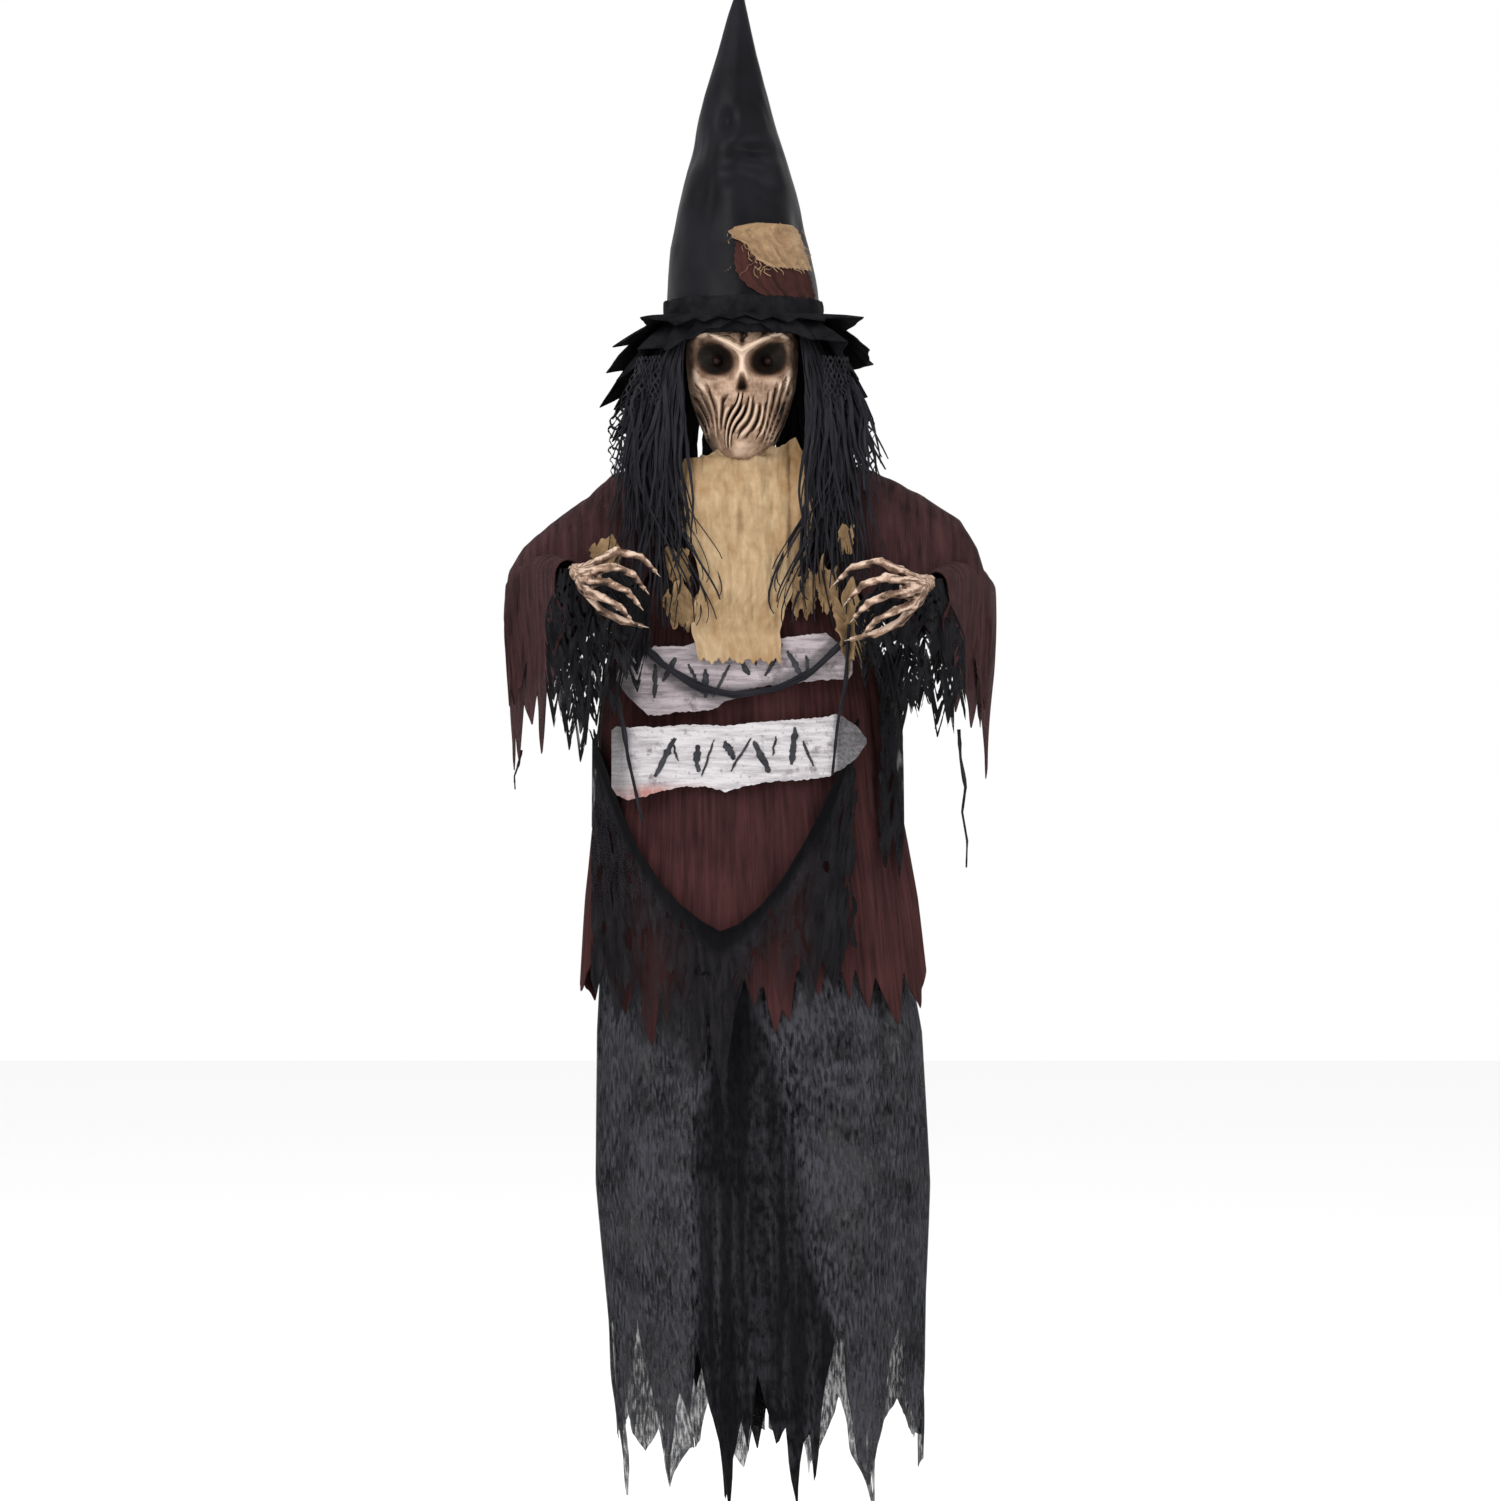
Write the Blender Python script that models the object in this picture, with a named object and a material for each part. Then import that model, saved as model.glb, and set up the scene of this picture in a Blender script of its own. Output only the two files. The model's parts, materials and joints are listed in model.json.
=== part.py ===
"""Animated hanging witch figure: a life-size prop that hangs from an eye at its hat tip.

A steel rod runs from the hanging eye down through the hat and head into a plastic chest
housing. A gearmotor in the chest turns the head on the rod. Arms turn on a shoulder tube
and bend at pinned elbows. Cloth, boards and gauze hang round the chest and a waist hoop.

Metres, +Z up. The origin is the centre of the hanging eye and the figure faces -Y.
"""

import math

import bmesh
import bpy
from mathutils import Matrix, Vector

# ---- Driving dimensions (metres, degrees) ----

GAP = 0.0003  # between two pieces that touch
MARGIN = 0.001  # a little room where nothing has to fit closely
CUT_PAST = 0.002  # how far a cut passes the wall it goes through
CLOTH_LIFT = 0.0005  # between a cloth band or patch and the crown
SHAFT_GAP = 0.0003  # round a shaft in its hole
FIGURE_HEIGHT = 1.842  # hanging eye down to the lowest skirt points

# Hanging rod
EYE_RADIUS = 0.009
EYE_WIRE = 0.0025
ROD_RADIUS = 0.004
NUT_RADIUS = 0.007
NUT_HEIGHT = 0.0065
ROD_BELOW_NUT = 0.004

# Hat
HAT_TIP_Z = -0.022
HAT_BASE_Z = -0.425
HAT_RADIUS = 0.0945
HAT_BULGE = 0.75  # power of the crown's side curve; 1 is a straight cone
HAT_WALL = 0.003
HAT_SIDES = 24
HAT_TIP_RADIUS = 0.012
BAND_HEIGHT = 0.032
BAND_THICKNESS = 0.004
BRIM_REACH = 0.165
BRIM_WALL = 0.003
BRIM_LEVEL = 0.006  # level part next to the crown
BRIM_TEAR = 0.012  # how far the torn edge comes in and goes out
BRIM_DROOP_SIDE = 0.070
BRIM_DROOP_FRONT = 0.014
BRIM_DROOP_BACK = 0.040
PATCH_THICKNESS = 0.002
TAN_PATCH_TOP = -0.296
MAROON_PATCH_TOP = -0.3435
PATCH_HEIGHT = 0.0465
PATCH_FIRST_SIDE = -1  # crown side, counted from the middle of the front
PATCH_SIDES = 5

# Head
HEAD_CENTRE_Z = -0.475
HEAD_HALF_HEIGHT = 0.110
HEAD_HALF_WIDTH = 0.068
FACE_DEPTH = 0.095
BACK_DEPTH = 0.085
HEAD_WALL = 0.003
CHIN_TAPER = 0.35
EYE_SPACING = 0.052
EYE_HEIGHT = 0.007  # above the head's centre
EYE_HOLE_RADIUS = 0.011
EYE_LIGHT_RADIUS = 0.009
EYE_LIGHT_LENGTH = 0.020

# Neck drive
GEAR_MODULE = 0.0018
GEAR_TEETH = 30
PINION_TEETH = 10
PRESSURE_ANGLE = 25.0
ADDENDUM = 0.7  # in modules
DEDENDUM = 1.0
TOOTH_SHARE = 0.42  # share of the pitch that is tooth
GEAR_WIDTH = 0.006
BUSH_WALL = 0.0017
BUSH_HEIGHT = 0.080
BUSH_FLANGE_RADIUS = 0.012
BUSH_FLANGE = 0.003
NECK_HUB_RADIUS = 0.014
NECK_HUB_HEIGHT = 0.042
PINION_SHAFT = 0.0025

# Chest housing
CHEST_TOP = -0.612
CHEST_HEIGHT = 0.180
CHEST_HALF_WIDTH = 0.072
CHEST_FRONT = 0.058
CHEST_BACK = 0.066
CHEST_WALL = 0.0024
CHEST_CORNER = 0.010
PLATE_THICKNESS = 0.003
PLATE_FRONT = 0.030
PLATE_BACK = 0.053
GEARBOX_RADIUS = 0.0145
GEARBOX_HEIGHT = 0.018
MOTOR_RADIUS = 0.010
MOTOR_HEIGHT = 0.032
SPEAKER_RADIUS = 0.026
SPEAKER_DEPTH = 0.022
SPEAKER_DISH = 0.006  # depth of the cone
SPEAKER_DROP = 0.126  # below the chest top
GRILLE_SLOTS = 5
GRILLE_SLOT = 0.0025
GRILLE_PITCH = 0.007
GRILLE_WIDTH = 0.030
BOARD_THICKNESS = 0.0016
BOARD_HALF_WIDTH = 0.055
BOARD_HEIGHT = 0.075
SENSOR_RADIUS = 0.004
SENSOR_LENGTH = 0.009
SENSOR_HOLE = 0.0015
SCREW_SHANK = 0.0015
SCREW_HEAD = 0.0035
SCREW_HEAD_HEIGHT = 0.002
BOSS_RADIUS = 0.004
SCREW_GRIP = 0.020  # length in the front shell's boss

# Batteries, door and controls
CELL_RADIUS = 0.0071
CELL_LENGTH = 0.0505
CELL_PITCH = 0.020
CELLS = 3
TRAY_WALL = 0.0012
TRAY_SIDE_GAP = 0.0025
STRIP_THICKNESS = 0.0005
DOOR_MARGIN = 0.0025
DOOR_GAP = 0.0004
DOOR_THICKNESS = 0.0022
DOOR_SCREW_DROP = 0.006
HINGE_RADIUS = 0.002
HINGE_PIN = 0.0012
HINGE_LUG = 0.005
BUTTON_RADIUS = 0.005
BUTTON_STANDS = 0.0025
BUTTON_TRAVEL = 0.002
CONTROL_X = 0.052
CONTROL_DROP = 0.103
SWITCH_SIZE = 0.003
SWITCH_TRAVEL = 0.004
SWITCH_PLAY = 0.0005
CONTROL_LENGTH = 0.009

# Arms. Each side has its own elbow and wrist, because the pose isn't a mirror image.
SHOULDER_Z = -0.658
SHOULDER_TUBE_OUTER = 0.008
SHOULDER_TUBE_WALL = 0.003
SHOULDER_TUBE_HALF = CHEST_HALF_WIDTH + 0.046
SHOULDER_HUB_RADIUS = 0.014
SHOULDER_HUB_WIDTH = 0.022
SHOULDER_STUB = 0.033
ELBOWS = {
    "left": (-SHOULDER_TUBE_HALF - 0.154, 0.0, -0.740),
    "right": (SHOULDER_TUBE_HALF + 0.167, 0.0, -0.748),
}
WRISTS = {
    "left": (-SHOULDER_TUBE_HALF - 0.072, -0.195, -0.722),
    "right": (SHOULDER_TUBE_HALF + 0.095, -0.195, -0.735),
}
ARM_RADIUS = 0.010
ARM_RADIUS_AT_ELBOW = 0.007
FOREARM_RADIUS = 0.008
ELBOW_RADIUS = 0.011
ELBOW_TONGUE = 0.008
ELBOW_EAR = 0.004
ELBOW_PIN = 0.003
ELBOW_LAP = 0.006  # how far the flat ends run into the round limbs
STRAP_INSET = 0.0005
ELBOW_REACH = 0.020  # from the elbow's axis to where the round limbs start
SLEEVE_INNER = 0.0135
SLEEVE_OUTER = 0.030
SLEEVE_START = 0.030  # from the shoulder hub's outer face, along the arm
SLEEVE_BEFORE_ELBOW = 0.040
SLEEVE_DROP = 0.215  # elbow down to the hem points
SLEEVE_HALF_THICKNESS = 0.018
HEM_STEP = 0.006
CUFF_THICKNESS = 0.018
CUFF_DROP = {"left": 0.200, "right": 0.165}
CUFF_WIDTH = 0.066
WRIST_SEAT = 0.010  # the hand reaches this far up over the wrist
PALM_LENGTH = 0.046
FINGER_RADIUS = 0.0045
FINGER_TIP_RADIUS = 0.0025
FINGER_SPREAD = 0.012
FINGER_ROOT = 0.006  # how far each finger starts inside the palm
FINGER_LENGTHS = (0.050, 0.056, 0.052, 0.040)
THUMB_LENGTH = 0.034

# Hoop and cloth
HOOP_Z = -0.985
HOOP_CENTRE = (0.008, 0.006)
HOOP_HALF_WIDTH = 0.160
HOOP_HALF_DEPTH = 0.085
HOOP_WIRE = 0.003
STAY_RADIUS = 0.003
STAY_X = 0.050
SKIRT_TOP = -0.990
ROBE_WALL = 0.005
SKIRT_WALL = 0.004
CLOTH_SIDES = 32
CLOTH_SQUARENESS = 2.5  # power of the cloth's outline; 2 is an ellipse
ROBE_TEAR = 0.028
SKIRT_TEAR = 0.038
# Each ring of cloth: height, sideways place, half width, front depth, back depth
ROBE_RINGS = (
    (-0.606, 0.000, CHEST_HALF_WIDTH + 0.035, 0.078, 0.088),
    (-0.630, 0.000, CHEST_HALF_WIDTH + 0.040, 0.083, 0.094),
    (-0.700, 0.000, CHEST_HALF_WIDTH + 0.044, 0.086, 0.096),
    (-0.765, 0.002, 0.160, 0.093, 0.103),
    (-0.870, 0.004, 0.174, 0.098, 0.108),
    (-1.000, 0.008, 0.184, 0.102, 0.114),
    (-1.110, 0.012, 0.196, 0.106, 0.118),
    (-1.200, 0.016, 0.208, 0.112, 0.124),
)
# The same, but each height is a share of the skirt's length
SKIRT_RINGS = (
    (0.00, 0.008, 0.172, 0.090, 0.102),
    (0.15, 0.014, 0.180, 0.094, 0.106),
    (0.26, 0.018, 0.190, 0.098, 0.110),
    (0.33, 0.022, 0.196, 0.100, 0.112),
    (0.55, 0.026, 0.200, 0.104, 0.116),
    (0.75, 0.030, 0.190, 0.106, 0.118),
    (0.92, 0.030, 0.182, 0.106, 0.118),
    (1.00, 0.030, 0.178, 0.106, 0.118),
)
BACK_SLIT_HALF_WIDTH = 0.060
BACK_SLIT_REACH = 0.080
PANEL_HALF_WIDTH = 0.067
PANEL_CENTRE_X = 0.005
PANEL_Y = -0.076
PANEL_THICKNESS = 0.004
PANEL_ABOVE_HEM = 0.037
BIB_HALF_WIDTH = 0.066
BIB_CENTRE_X = 0.004
BIB_TOP = -0.597
BIB_BOTTOM = -0.816
BIB_THICKNESS = 0.005
SIGN_FRONT = -0.112
SIGN_THICKNESS = 0.004
SIGN_UPPER = {"tip": -0.149, "tail": 0.130, "top": -0.804, "bottom": -0.888}
SIGN_LOWER = {"tip": 0.148, "tail": -0.156, "top": -0.900, "bottom": -0.984}
SIGN_HEAD_LENGTH = 0.050
SWAG_THICKNESS = 0.004
HAIR_TOP = -0.445
HAIR_BOTTOM = -0.590
HAIR_WALL = 0.006
HAIR_FRONT_OPENING = 42.0
HAIR_FALL_INNER = 0.074
HAIR_FALL_OUTER = 0.148
HAIR_FALL_TOP = -0.600
HAIR_FALL_BOTTOM = -0.772
HAIR_FALL_Y = -0.102
HAIR_FALL_THICKNESS = 0.004

SIDE_SIGN = {"left": -1.0, "right": 1.0}

# ---- Derived places ----

PITCH_GEAR = GEAR_MODULE * GEAR_TEETH / 2
PITCH_PINION = GEAR_MODULE * PINION_TEETH / 2
PINION_Y = PITCH_GEAR + PITCH_PINION
FLANGE_TOP = CHEST_TOP + GAP + BUSH_FLANGE
GEAR_BOTTOM = FLANGE_TOP + GAP
GEAR_TOP = GEAR_BOTTOM + GEAR_WIDTH
BUSH_OUTER = ROD_RADIUS + SHAFT_GAP + BUSH_WALL
PLATE_TOP = CHEST_TOP - CHEST_WALL - GAP
PLATE_BOTTOM = PLATE_TOP - PLATE_THICKNESS
PLATE_HALF_WIDTH = CHEST_HALF_WIDTH - CHEST_CORNER
CHEST_BOTTOM = CHEST_TOP - CHEST_HEIGHT
HEAD_BOTTOM = HEAD_CENTRE_Z - HEAD_HALF_HEIGHT
SPEAKER_Z = CHEST_TOP - SPEAKER_DROP
TRAY_CENTRE_Z = SPEAKER_Z
TRAY_HALF_HEIGHT = CELLS * CELL_PITCH / 2 + TRAY_WALL
TRAY_HALF_WIDTH = CELL_LENGTH / 2 + TRAY_SIDE_GAP + TRAY_WALL
TRAY_BACK = CHEST_BACK - DOOR_THICKNESS - 0.0008
CELL_Y = TRAY_BACK - CELL_RADIUS - MARGIN
TRAY_FRONT = CELL_Y - CELL_RADIUS - MARGIN - TRAY_WALL
DOOR_HALF_WIDTH = TRAY_HALF_WIDTH + DOOR_MARGIN
DOOR_HALF_HEIGHT = TRAY_HALF_HEIGHT + DOOR_MARGIN
DOOR_BOTTOM = TRAY_CENTRE_Z - DOOR_HALF_HEIGHT
HINGE_Y = CHEST_BACK + HINGE_RADIUS + DOOR_GAP
HINGE_Z = DOOR_BOTTOM - HINGE_RADIUS - MARGIN
CONTROL_Z = CHEST_TOP - CONTROL_DROP
HUB_INNER = SHOULDER_TUBE_HALF + GAP
HUB_OUTER = HUB_INNER + SHOULDER_HUB_WIDTH
SCREW_X = CHEST_HALF_WIDTH - CHEST_CORNER
SCREW_Z = CHEST_BOTTOM + CHEST_CORNER + CUT_PAST


# ---- Scene helpers ----

def clear_scene():
    for obj in list(bpy.data.objects):
        bpy.data.objects.remove(obj, do_unlink=True)


def make_material(name, colour, roughness, metallic=0.0):
    mat = bpy.data.materials.new(name)
    mat.use_nodes = True
    shader = mat.node_tree.nodes["Principled BSDF"]
    shader.inputs["Base Color"].default_value = (*colour, 1.0)
    shader.inputs["Roughness"].default_value = roughness
    shader.inputs["Metallic"].default_value = metallic
    mat.diffuse_color = (*colour, 1.0)
    return mat


def make_empty(name, place):
    empty = bpy.data.objects.new(name, None)
    empty.location = place
    empty.empty_display_size = 0.02
    bpy.context.scene.collection.objects.link(empty)
    return empty


def make_object(name, shape, look, pivot=None):
    """An object from a finished bmesh in world places; pivot is the empty on its joint's axis."""
    bmesh.ops.recalc_face_normals(shape, faces=shape.faces)
    mesh = bpy.data.meshes.new(name)
    shape.to_mesh(mesh)
    shape.free()
    obj = bpy.data.objects.new(name, mesh)
    bpy.context.scene.collection.objects.link(obj)
    if pivot is not None:
        mesh.transform(Matrix.Translation(-Vector(pivot.location)))
        obj.parent = pivot
    if look is not None:
        material = make_material(name, *look)
        mesh.materials.append(material)
    mesh.shade_smooth()
    mesh.set_sharp_from_angle(angle=math.radians(35))
    return obj


def make_helper(name, shape, pivot=None):
    """A shape that only cuts or joins: left out of renders and of the part."""
    obj = make_object(name, shape, None, pivot)
    obj.hide_render = True
    obj.display_type = "WIRE"
    return obj


def combine(obj, shape, operation, label):
    helper = make_helper(f"{obj.name}_{label}", shape, obj.parent)
    modifier = obj.modifiers.new(label, "BOOLEAN")
    modifier.operation = operation
    modifier.solver = "EXACT"
    modifier.object = helper


def cut(obj, shape, label):
    combine(obj, shape, "DIFFERENCE", label)


def join(obj, shape, label):
    combine(obj, shape, "UNION", label)


# ---- Shape helpers: each returns a closed bmesh in world places ----

def turn_to(direction):
    """The rotation that carries +Z to the direction."""
    return Vector(direction).to_track_quat("Z", "Y").to_matrix().to_4x4()


def revolve(profile, sides, centre=(0, 0, 0), direction=(0, 0, 1), closed=True):
    """A turned shape. The profile is (radius, height) pairs; a radius of 0 makes a pole."""
    shape = bmesh.new()
    placed = Matrix.Translation(Vector(centre)) @ turn_to(direction)
    rings = []
    for radius, height in profile:
        if radius == 0:
            rings.append([shape.verts.new(placed @ Vector((0, 0, height)))])
            continue
        ring = []
        for i in range(sides):
            angle = 2 * math.pi * i / sides
            point = Vector((radius * math.cos(angle), radius * math.sin(angle), height))
            ring.append(shape.verts.new(placed @ point))
        rings.append(ring)
    pairs = list(zip(rings, rings[1:]))
    if closed:
        pairs.append((rings[-1], rings[0]))
    for first, second in pairs:
        bridge(shape, first, second)
    return shape


def bridge(shape, first, second):
    """Faces between two rings, either of which may be a single point."""
    count = max(len(first), len(second))
    if count == 1:
        return
    for i in range(count):
        j = (i + 1) % count
        if len(first) == 1:
            shape.faces.new((first[0], second[i], second[j]))
        elif len(second) == 1:
            shape.faces.new((first[i], first[j], second[0]))
        else:
            shape.faces.new((first[i], first[j], second[j], second[i]))


def cylinder(radius, start, end, sides=16):
    """A solid round bar between two points."""
    start = Vector(start)
    along = Vector(end) - start
    profile = ((0, 0), (radius, 0), (radius, along.length), (0, along.length))
    return revolve(profile, sides, start, along, closed=False)


def pipe(outer, inner, start, end, sides=16):
    """A round bar between two points with a bore right through."""
    start = Vector(start)
    along = Vector(end) - start
    profile = ((outer, 0), (outer, along.length), (inner, along.length), (inner, 0))
    return revolve(profile, sides, start, along)


def box(low, high):
    shape = bmesh.new()
    bmesh.ops.create_cube(shape, size=1.0)
    low, high = Vector(low), Vector(high)
    size = high - low
    middle = (low + high) / 2
    for vert in shape.verts:
        vert.co = Vector([vert.co[k] * size[k] + middle[k] for k in range(3)])
    return shape


def loft(rings, cap=True):
    """A closed solid through rings of the same number of points."""
    shape = bmesh.new()
    made = [[shape.verts.new(point) for point in ring] for ring in rings]
    for first, second in zip(made, made[1:]):
        bridge(shape, first, second)
    if cap:
        shape.faces.new(made[0])
        shape.faces.new(made[-1])
    return shape


def walled_tube(outer_rings, inner_rings):
    """An open tube with a wall, from matching outer and inner rings."""
    shape = bmesh.new()
    outer = [[shape.verts.new(point) for point in ring] for ring in outer_rings]
    inner = [[shape.verts.new(point) for point in ring] for ring in inner_rings]
    for rings in (outer, inner):
        for first, second in zip(rings, rings[1:]):
            bridge(shape, first, second)
    bridge(shape, outer[0], inner[0])
    bridge(shape, outer[-1], inner[-1])
    return shape


def prism(outline, start, depth, plane):
    """An outline pushed along the axis it faces. plane is "XZ" (along Y), "YZ" or "XY"."""
    place = {
        "XZ": lambda a, b, c: Vector((a, c, b)),
        "YZ": lambda a, b, c: Vector((c, a, b)),
        "XY": lambda a, b, c: Vector((a, b, c)),
    }[plane]
    near = [place(a, b, start) for a, b in outline]
    far = [place(a, b, start + depth) for a, b in outline]
    return loft((near, far))


def rounded_rectangle(half_width, low, high, corner, steps=3):
    """A rectangle with round corners, centred sideways."""
    points = []
    corners = (
        (half_width - corner, high - corner, 0),
        (-half_width + corner, high - corner, 90),
        (-half_width + corner, low + corner, 180),
        (half_width - corner, low + corner, 270),
    )
    for across, up, first in corners:
        for step in range(steps + 1):
            angle = math.radians(first + 90 * step / steps)
            points.append((across + corner * math.cos(angle), up + corner * math.sin(angle)))
    return points


def tube_path(points, radii, sides=8):
    """A solid round bar through points, with a radius at each."""
    points = [Vector(point) for point in points]
    rings = []
    for i, point in enumerate(points):
        before = points[max(i - 1, 0)]
        after = points[min(i + 1, len(points) - 1)]
        turned = turn_to(after - before)
        ring = []
        for k in range(sides):
            angle = 2 * math.pi * k / sides
            offset = Vector((math.cos(angle), math.sin(angle), 0)) * radii[i]
            ring.append(point + turned @ offset)
        rings.append(ring)
    return loft(rings)


def ring_bar(centre, half_width, half_depth, wire, turns=36, sides=8):
    """A round wire bent into an oval that lies level."""
    shape = bmesh.new()
    rings = []
    for i in range(turns):
        angle = 2 * math.pi * i / turns
        out = Vector((math.cos(angle) / half_width, math.sin(angle) / half_depth, 0)).normalized()
        middle = Vector(centre) + Vector(
            (half_width * math.cos(angle), half_depth * math.sin(angle), 0)
        )
        ring = []
        for k in range(sides):
            roll = 2 * math.pi * k / sides
            offset = out * math.cos(roll) * wire + Vector((0, 0, math.sin(roll) * wire))
            ring.append(shape.verts.new(middle + offset))
        rings.append(ring)
    for first, second in zip(rings, rings[1:] + rings[:1]):
        bridge(shape, first, second)
    return shape


def toothed_outline(teeth, turn):
    """A spur gear's outline with involute flanks; turn is the angle of the first tooth."""
    pressure = math.radians(PRESSURE_ANGLE)
    pitch = GEAR_MODULE * teeth / 2
    base = pitch * math.cos(pressure)
    root = pitch - DEDENDUM * GEAR_MODULE
    tip = pitch + ADDENDUM * GEAR_MODULE
    half_tooth = math.pi * TOOTH_SHARE / teeth
    at_pitch = math.tan(pressure) - pressure

    def half_angle(radius):
        rolled = math.acos(min(1.0, base / radius))
        return half_tooth + at_pitch - (math.tan(rolled) - rolled)

    flank_radii = [max(base, root), pitch, tip]
    if root < base:
        flank_radii.insert(0, root)
    points = []
    for tooth in range(teeth):
        middle = turn + 2 * math.pi * tooth / teeth
        rising = [(r, middle - half_angle(max(r, base))) for r in flank_radii]
        falling = [(r, middle + half_angle(max(r, base))) for r in reversed(flank_radii)]
        for radius, angle in rising + falling:
            points.append((radius * math.cos(angle), radius * math.sin(angle)))
    return points


def oval_ring(height, sideways, half_width, front, back, inset=0.0, torn=0.0, seed=0):
    """A level ring of cloth, squarer than an ellipse, with an optional torn lower edge."""
    power = 2.0 / CLOTH_SQUARENESS
    points = []
    for i in range(CLOTH_SIDES):
        angle = 2 * math.pi * i / CLOTH_SIDES
        across = math.copysign(abs(math.cos(angle)) ** power, math.cos(angle))
        along = math.copysign(abs(math.sin(angle)) ** power, math.sin(angle))
        depth = (back if along > 0 else front) - inset
        wave = torn_wave(i, seed) * torn
        points.append(
            Vector((sideways + across * (half_width - inset), along * depth, height + wave))
        )
    return points


def torn_wave(index, seed):
    """A repeatable uneven step between -1 and 1 for a torn edge."""
    return math.sin(index * 2.4 + seed) * 0.6 + math.sin(index * 5.1 + 2 * seed) * 0.4


# ---- Hanging rod and neck ----

def build_hanging_rod():
    bottom = PLATE_BOTTOM - GAP - NUT_HEIGHT - ROD_BELOW_NUT
    profile = []
    for k in range(8):
        roll = 2 * math.pi * k / 8
        profile.append((EYE_RADIUS + EYE_WIRE * math.cos(roll), EYE_WIRE * math.sin(roll)))
    eye = revolve(profile, 20, direction=(0, -1, 0))
    rod = make_object("hanging_rod", eye, ((0.55, 0.55, 0.57), 0.35, 1.0))
    join(rod, cylinder(ROD_RADIUS, (0, 0, -EYE_RADIUS), (0, 0, bottom), 12), "shank")


def build_rod_nut():
    top = PLATE_BOTTOM - GAP
    hexagon = cylinder(NUT_RADIUS, (0, 0, top - NUT_HEIGHT), (0, 0, top), 6)
    nut = make_object("rod_nut", hexagon, ((0.60, 0.60, 0.62), 0.35, 1.0))
    bore = cylinder(ROD_RADIUS + SHAFT_GAP, (0, 0, top - 2 * NUT_HEIGHT), (0, 0, top + NUT_HEIGHT), 12)
    cut(nut, bore, "bore")


def build_neck_bush():
    bottom = CHEST_TOP + GAP
    inner = ROD_RADIUS + SHAFT_GAP
    profile = (
        (inner, 0),
        (BUSH_FLANGE_RADIUS, 0),
        (BUSH_FLANGE_RADIUS, BUSH_FLANGE),
        (BUSH_OUTER, BUSH_FLANGE),
        (BUSH_OUTER, BUSH_HEIGHT),
        (inner, BUSH_HEIGHT),
    )
    make_object("neck_bush", revolve(profile, 16, (0, 0, bottom)), ((0.72, 0.52, 0.22), 0.3, 1.0))


def build_neck_gear(head):
    outline = toothed_outline(GEAR_TEETH, math.pi / 2)
    gear = make_object(
        "neck_gear",
        prism(outline, GEAR_BOTTOM, GEAR_WIDTH, "XY"),
        ((0.85, 0.83, 0.78), 0.5),
        head,
    )
    hub_top = GEAR_TOP + NECK_HUB_HEIGHT
    middle = (GEAR_BOTTOM + GEAR_TOP) / 2
    join(gear, cylinder(NECK_HUB_RADIUS, (0, 0, middle), (0, 0, hub_top)), "hub")
    bore = cylinder(BUSH_OUTER + SHAFT_GAP, (0, 0, GEAR_BOTTOM - 0.01), (0, 0, hub_top + 0.01))
    cut(gear, bore, "bore")


def build_drive_pinion(pinion_pivot):
    turn = -math.pi / 2 + math.pi / PINION_TEETH
    outline = [(x, y + PINION_Y) for x, y in toothed_outline(PINION_TEETH, turn)]
    pinion = make_object(
        "drive_pinion",
        prism(outline, GEAR_BOTTOM, GEAR_WIDTH, "XY"),
        ((0.80, 0.78, 0.72), 0.45),
        pinion_pivot,
    )
    shaft_bottom = PLATE_BOTTOM - GAP - GEARBOX_HEIGHT * 0.7
    shaft = cylinder(
        PINION_SHAFT, (0, PINION_Y, GEAR_TOP - GEAR_WIDTH / 2), (0, PINION_Y, shaft_bottom), 12
    )
    join(pinion, shaft, "shaft")


# ---- Chest housing and what it holds ----

def shell_half(name, inside, outside, colour):
    """One half of the housing: a rounded tray between its split face and its outer face."""
    outline = rounded_rectangle(CHEST_HALF_WIDTH, CHEST_BOTTOM, CHEST_TOP, CHEST_CORNER)
    shell = make_object(name, prism(outline, inside, outside - inside, "XZ"), colour)
    hollow = rounded_rectangle(
        CHEST_HALF_WIDTH - CHEST_WALL,
        CHEST_BOTTOM + CHEST_WALL,
        CHEST_TOP - CHEST_WALL,
        CHEST_CORNER - CHEST_WALL,
    )
    way = math.copysign(1.0, outside - inside)
    start = inside - way * 0.01
    cut(shell, prism(hollow, start, outside - way * CHEST_WALL - start, "XZ"), "hollow")
    for side, sign in SIDE_SIGN.items():
        boss_end = outside - way * CHEST_WALL / 2
        boss = cylinder(
            BOSS_RADIUS, (sign * SCREW_X, inside, SCREW_Z), (sign * SCREW_X, boss_end, SCREW_Z), 10
        )
        join(shell, boss, f"boss_{side}")
    return shell


def cut_split_holes(shell):
    """Holes that lie on the split between the halves, so that each half has half of each."""
    rod_hole = ROD_RADIUS + 2 * SHAFT_GAP
    cut(
        shell,
        cylinder(rod_hole, (0, 0, CHEST_TOP - 0.01), (0, 0, CHEST_TOP + 0.01), 12),
        "rod_hole",
    )
    tube_hole = SHOULDER_TUBE_OUTER + SHAFT_GAP
    reach = CHEST_HALF_WIDTH + 0.01
    cut(
        shell,
        cylinder(tube_hole, (-reach, 0, SHOULDER_Z), (reach, 0, SHOULDER_Z)),
        "tube_hole",
    )
    for side, sign in SIDE_SIGN.items():
        x = sign * STAY_X
        hole = cylinder(
            STAY_RADIUS + SHAFT_GAP, (x, 0, CHEST_BOTTOM - 0.01), (x, 0, CHEST_BOTTOM + 0.01), 10
        )
        cut(shell, hole, f"stay_hole_{side}")


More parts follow.
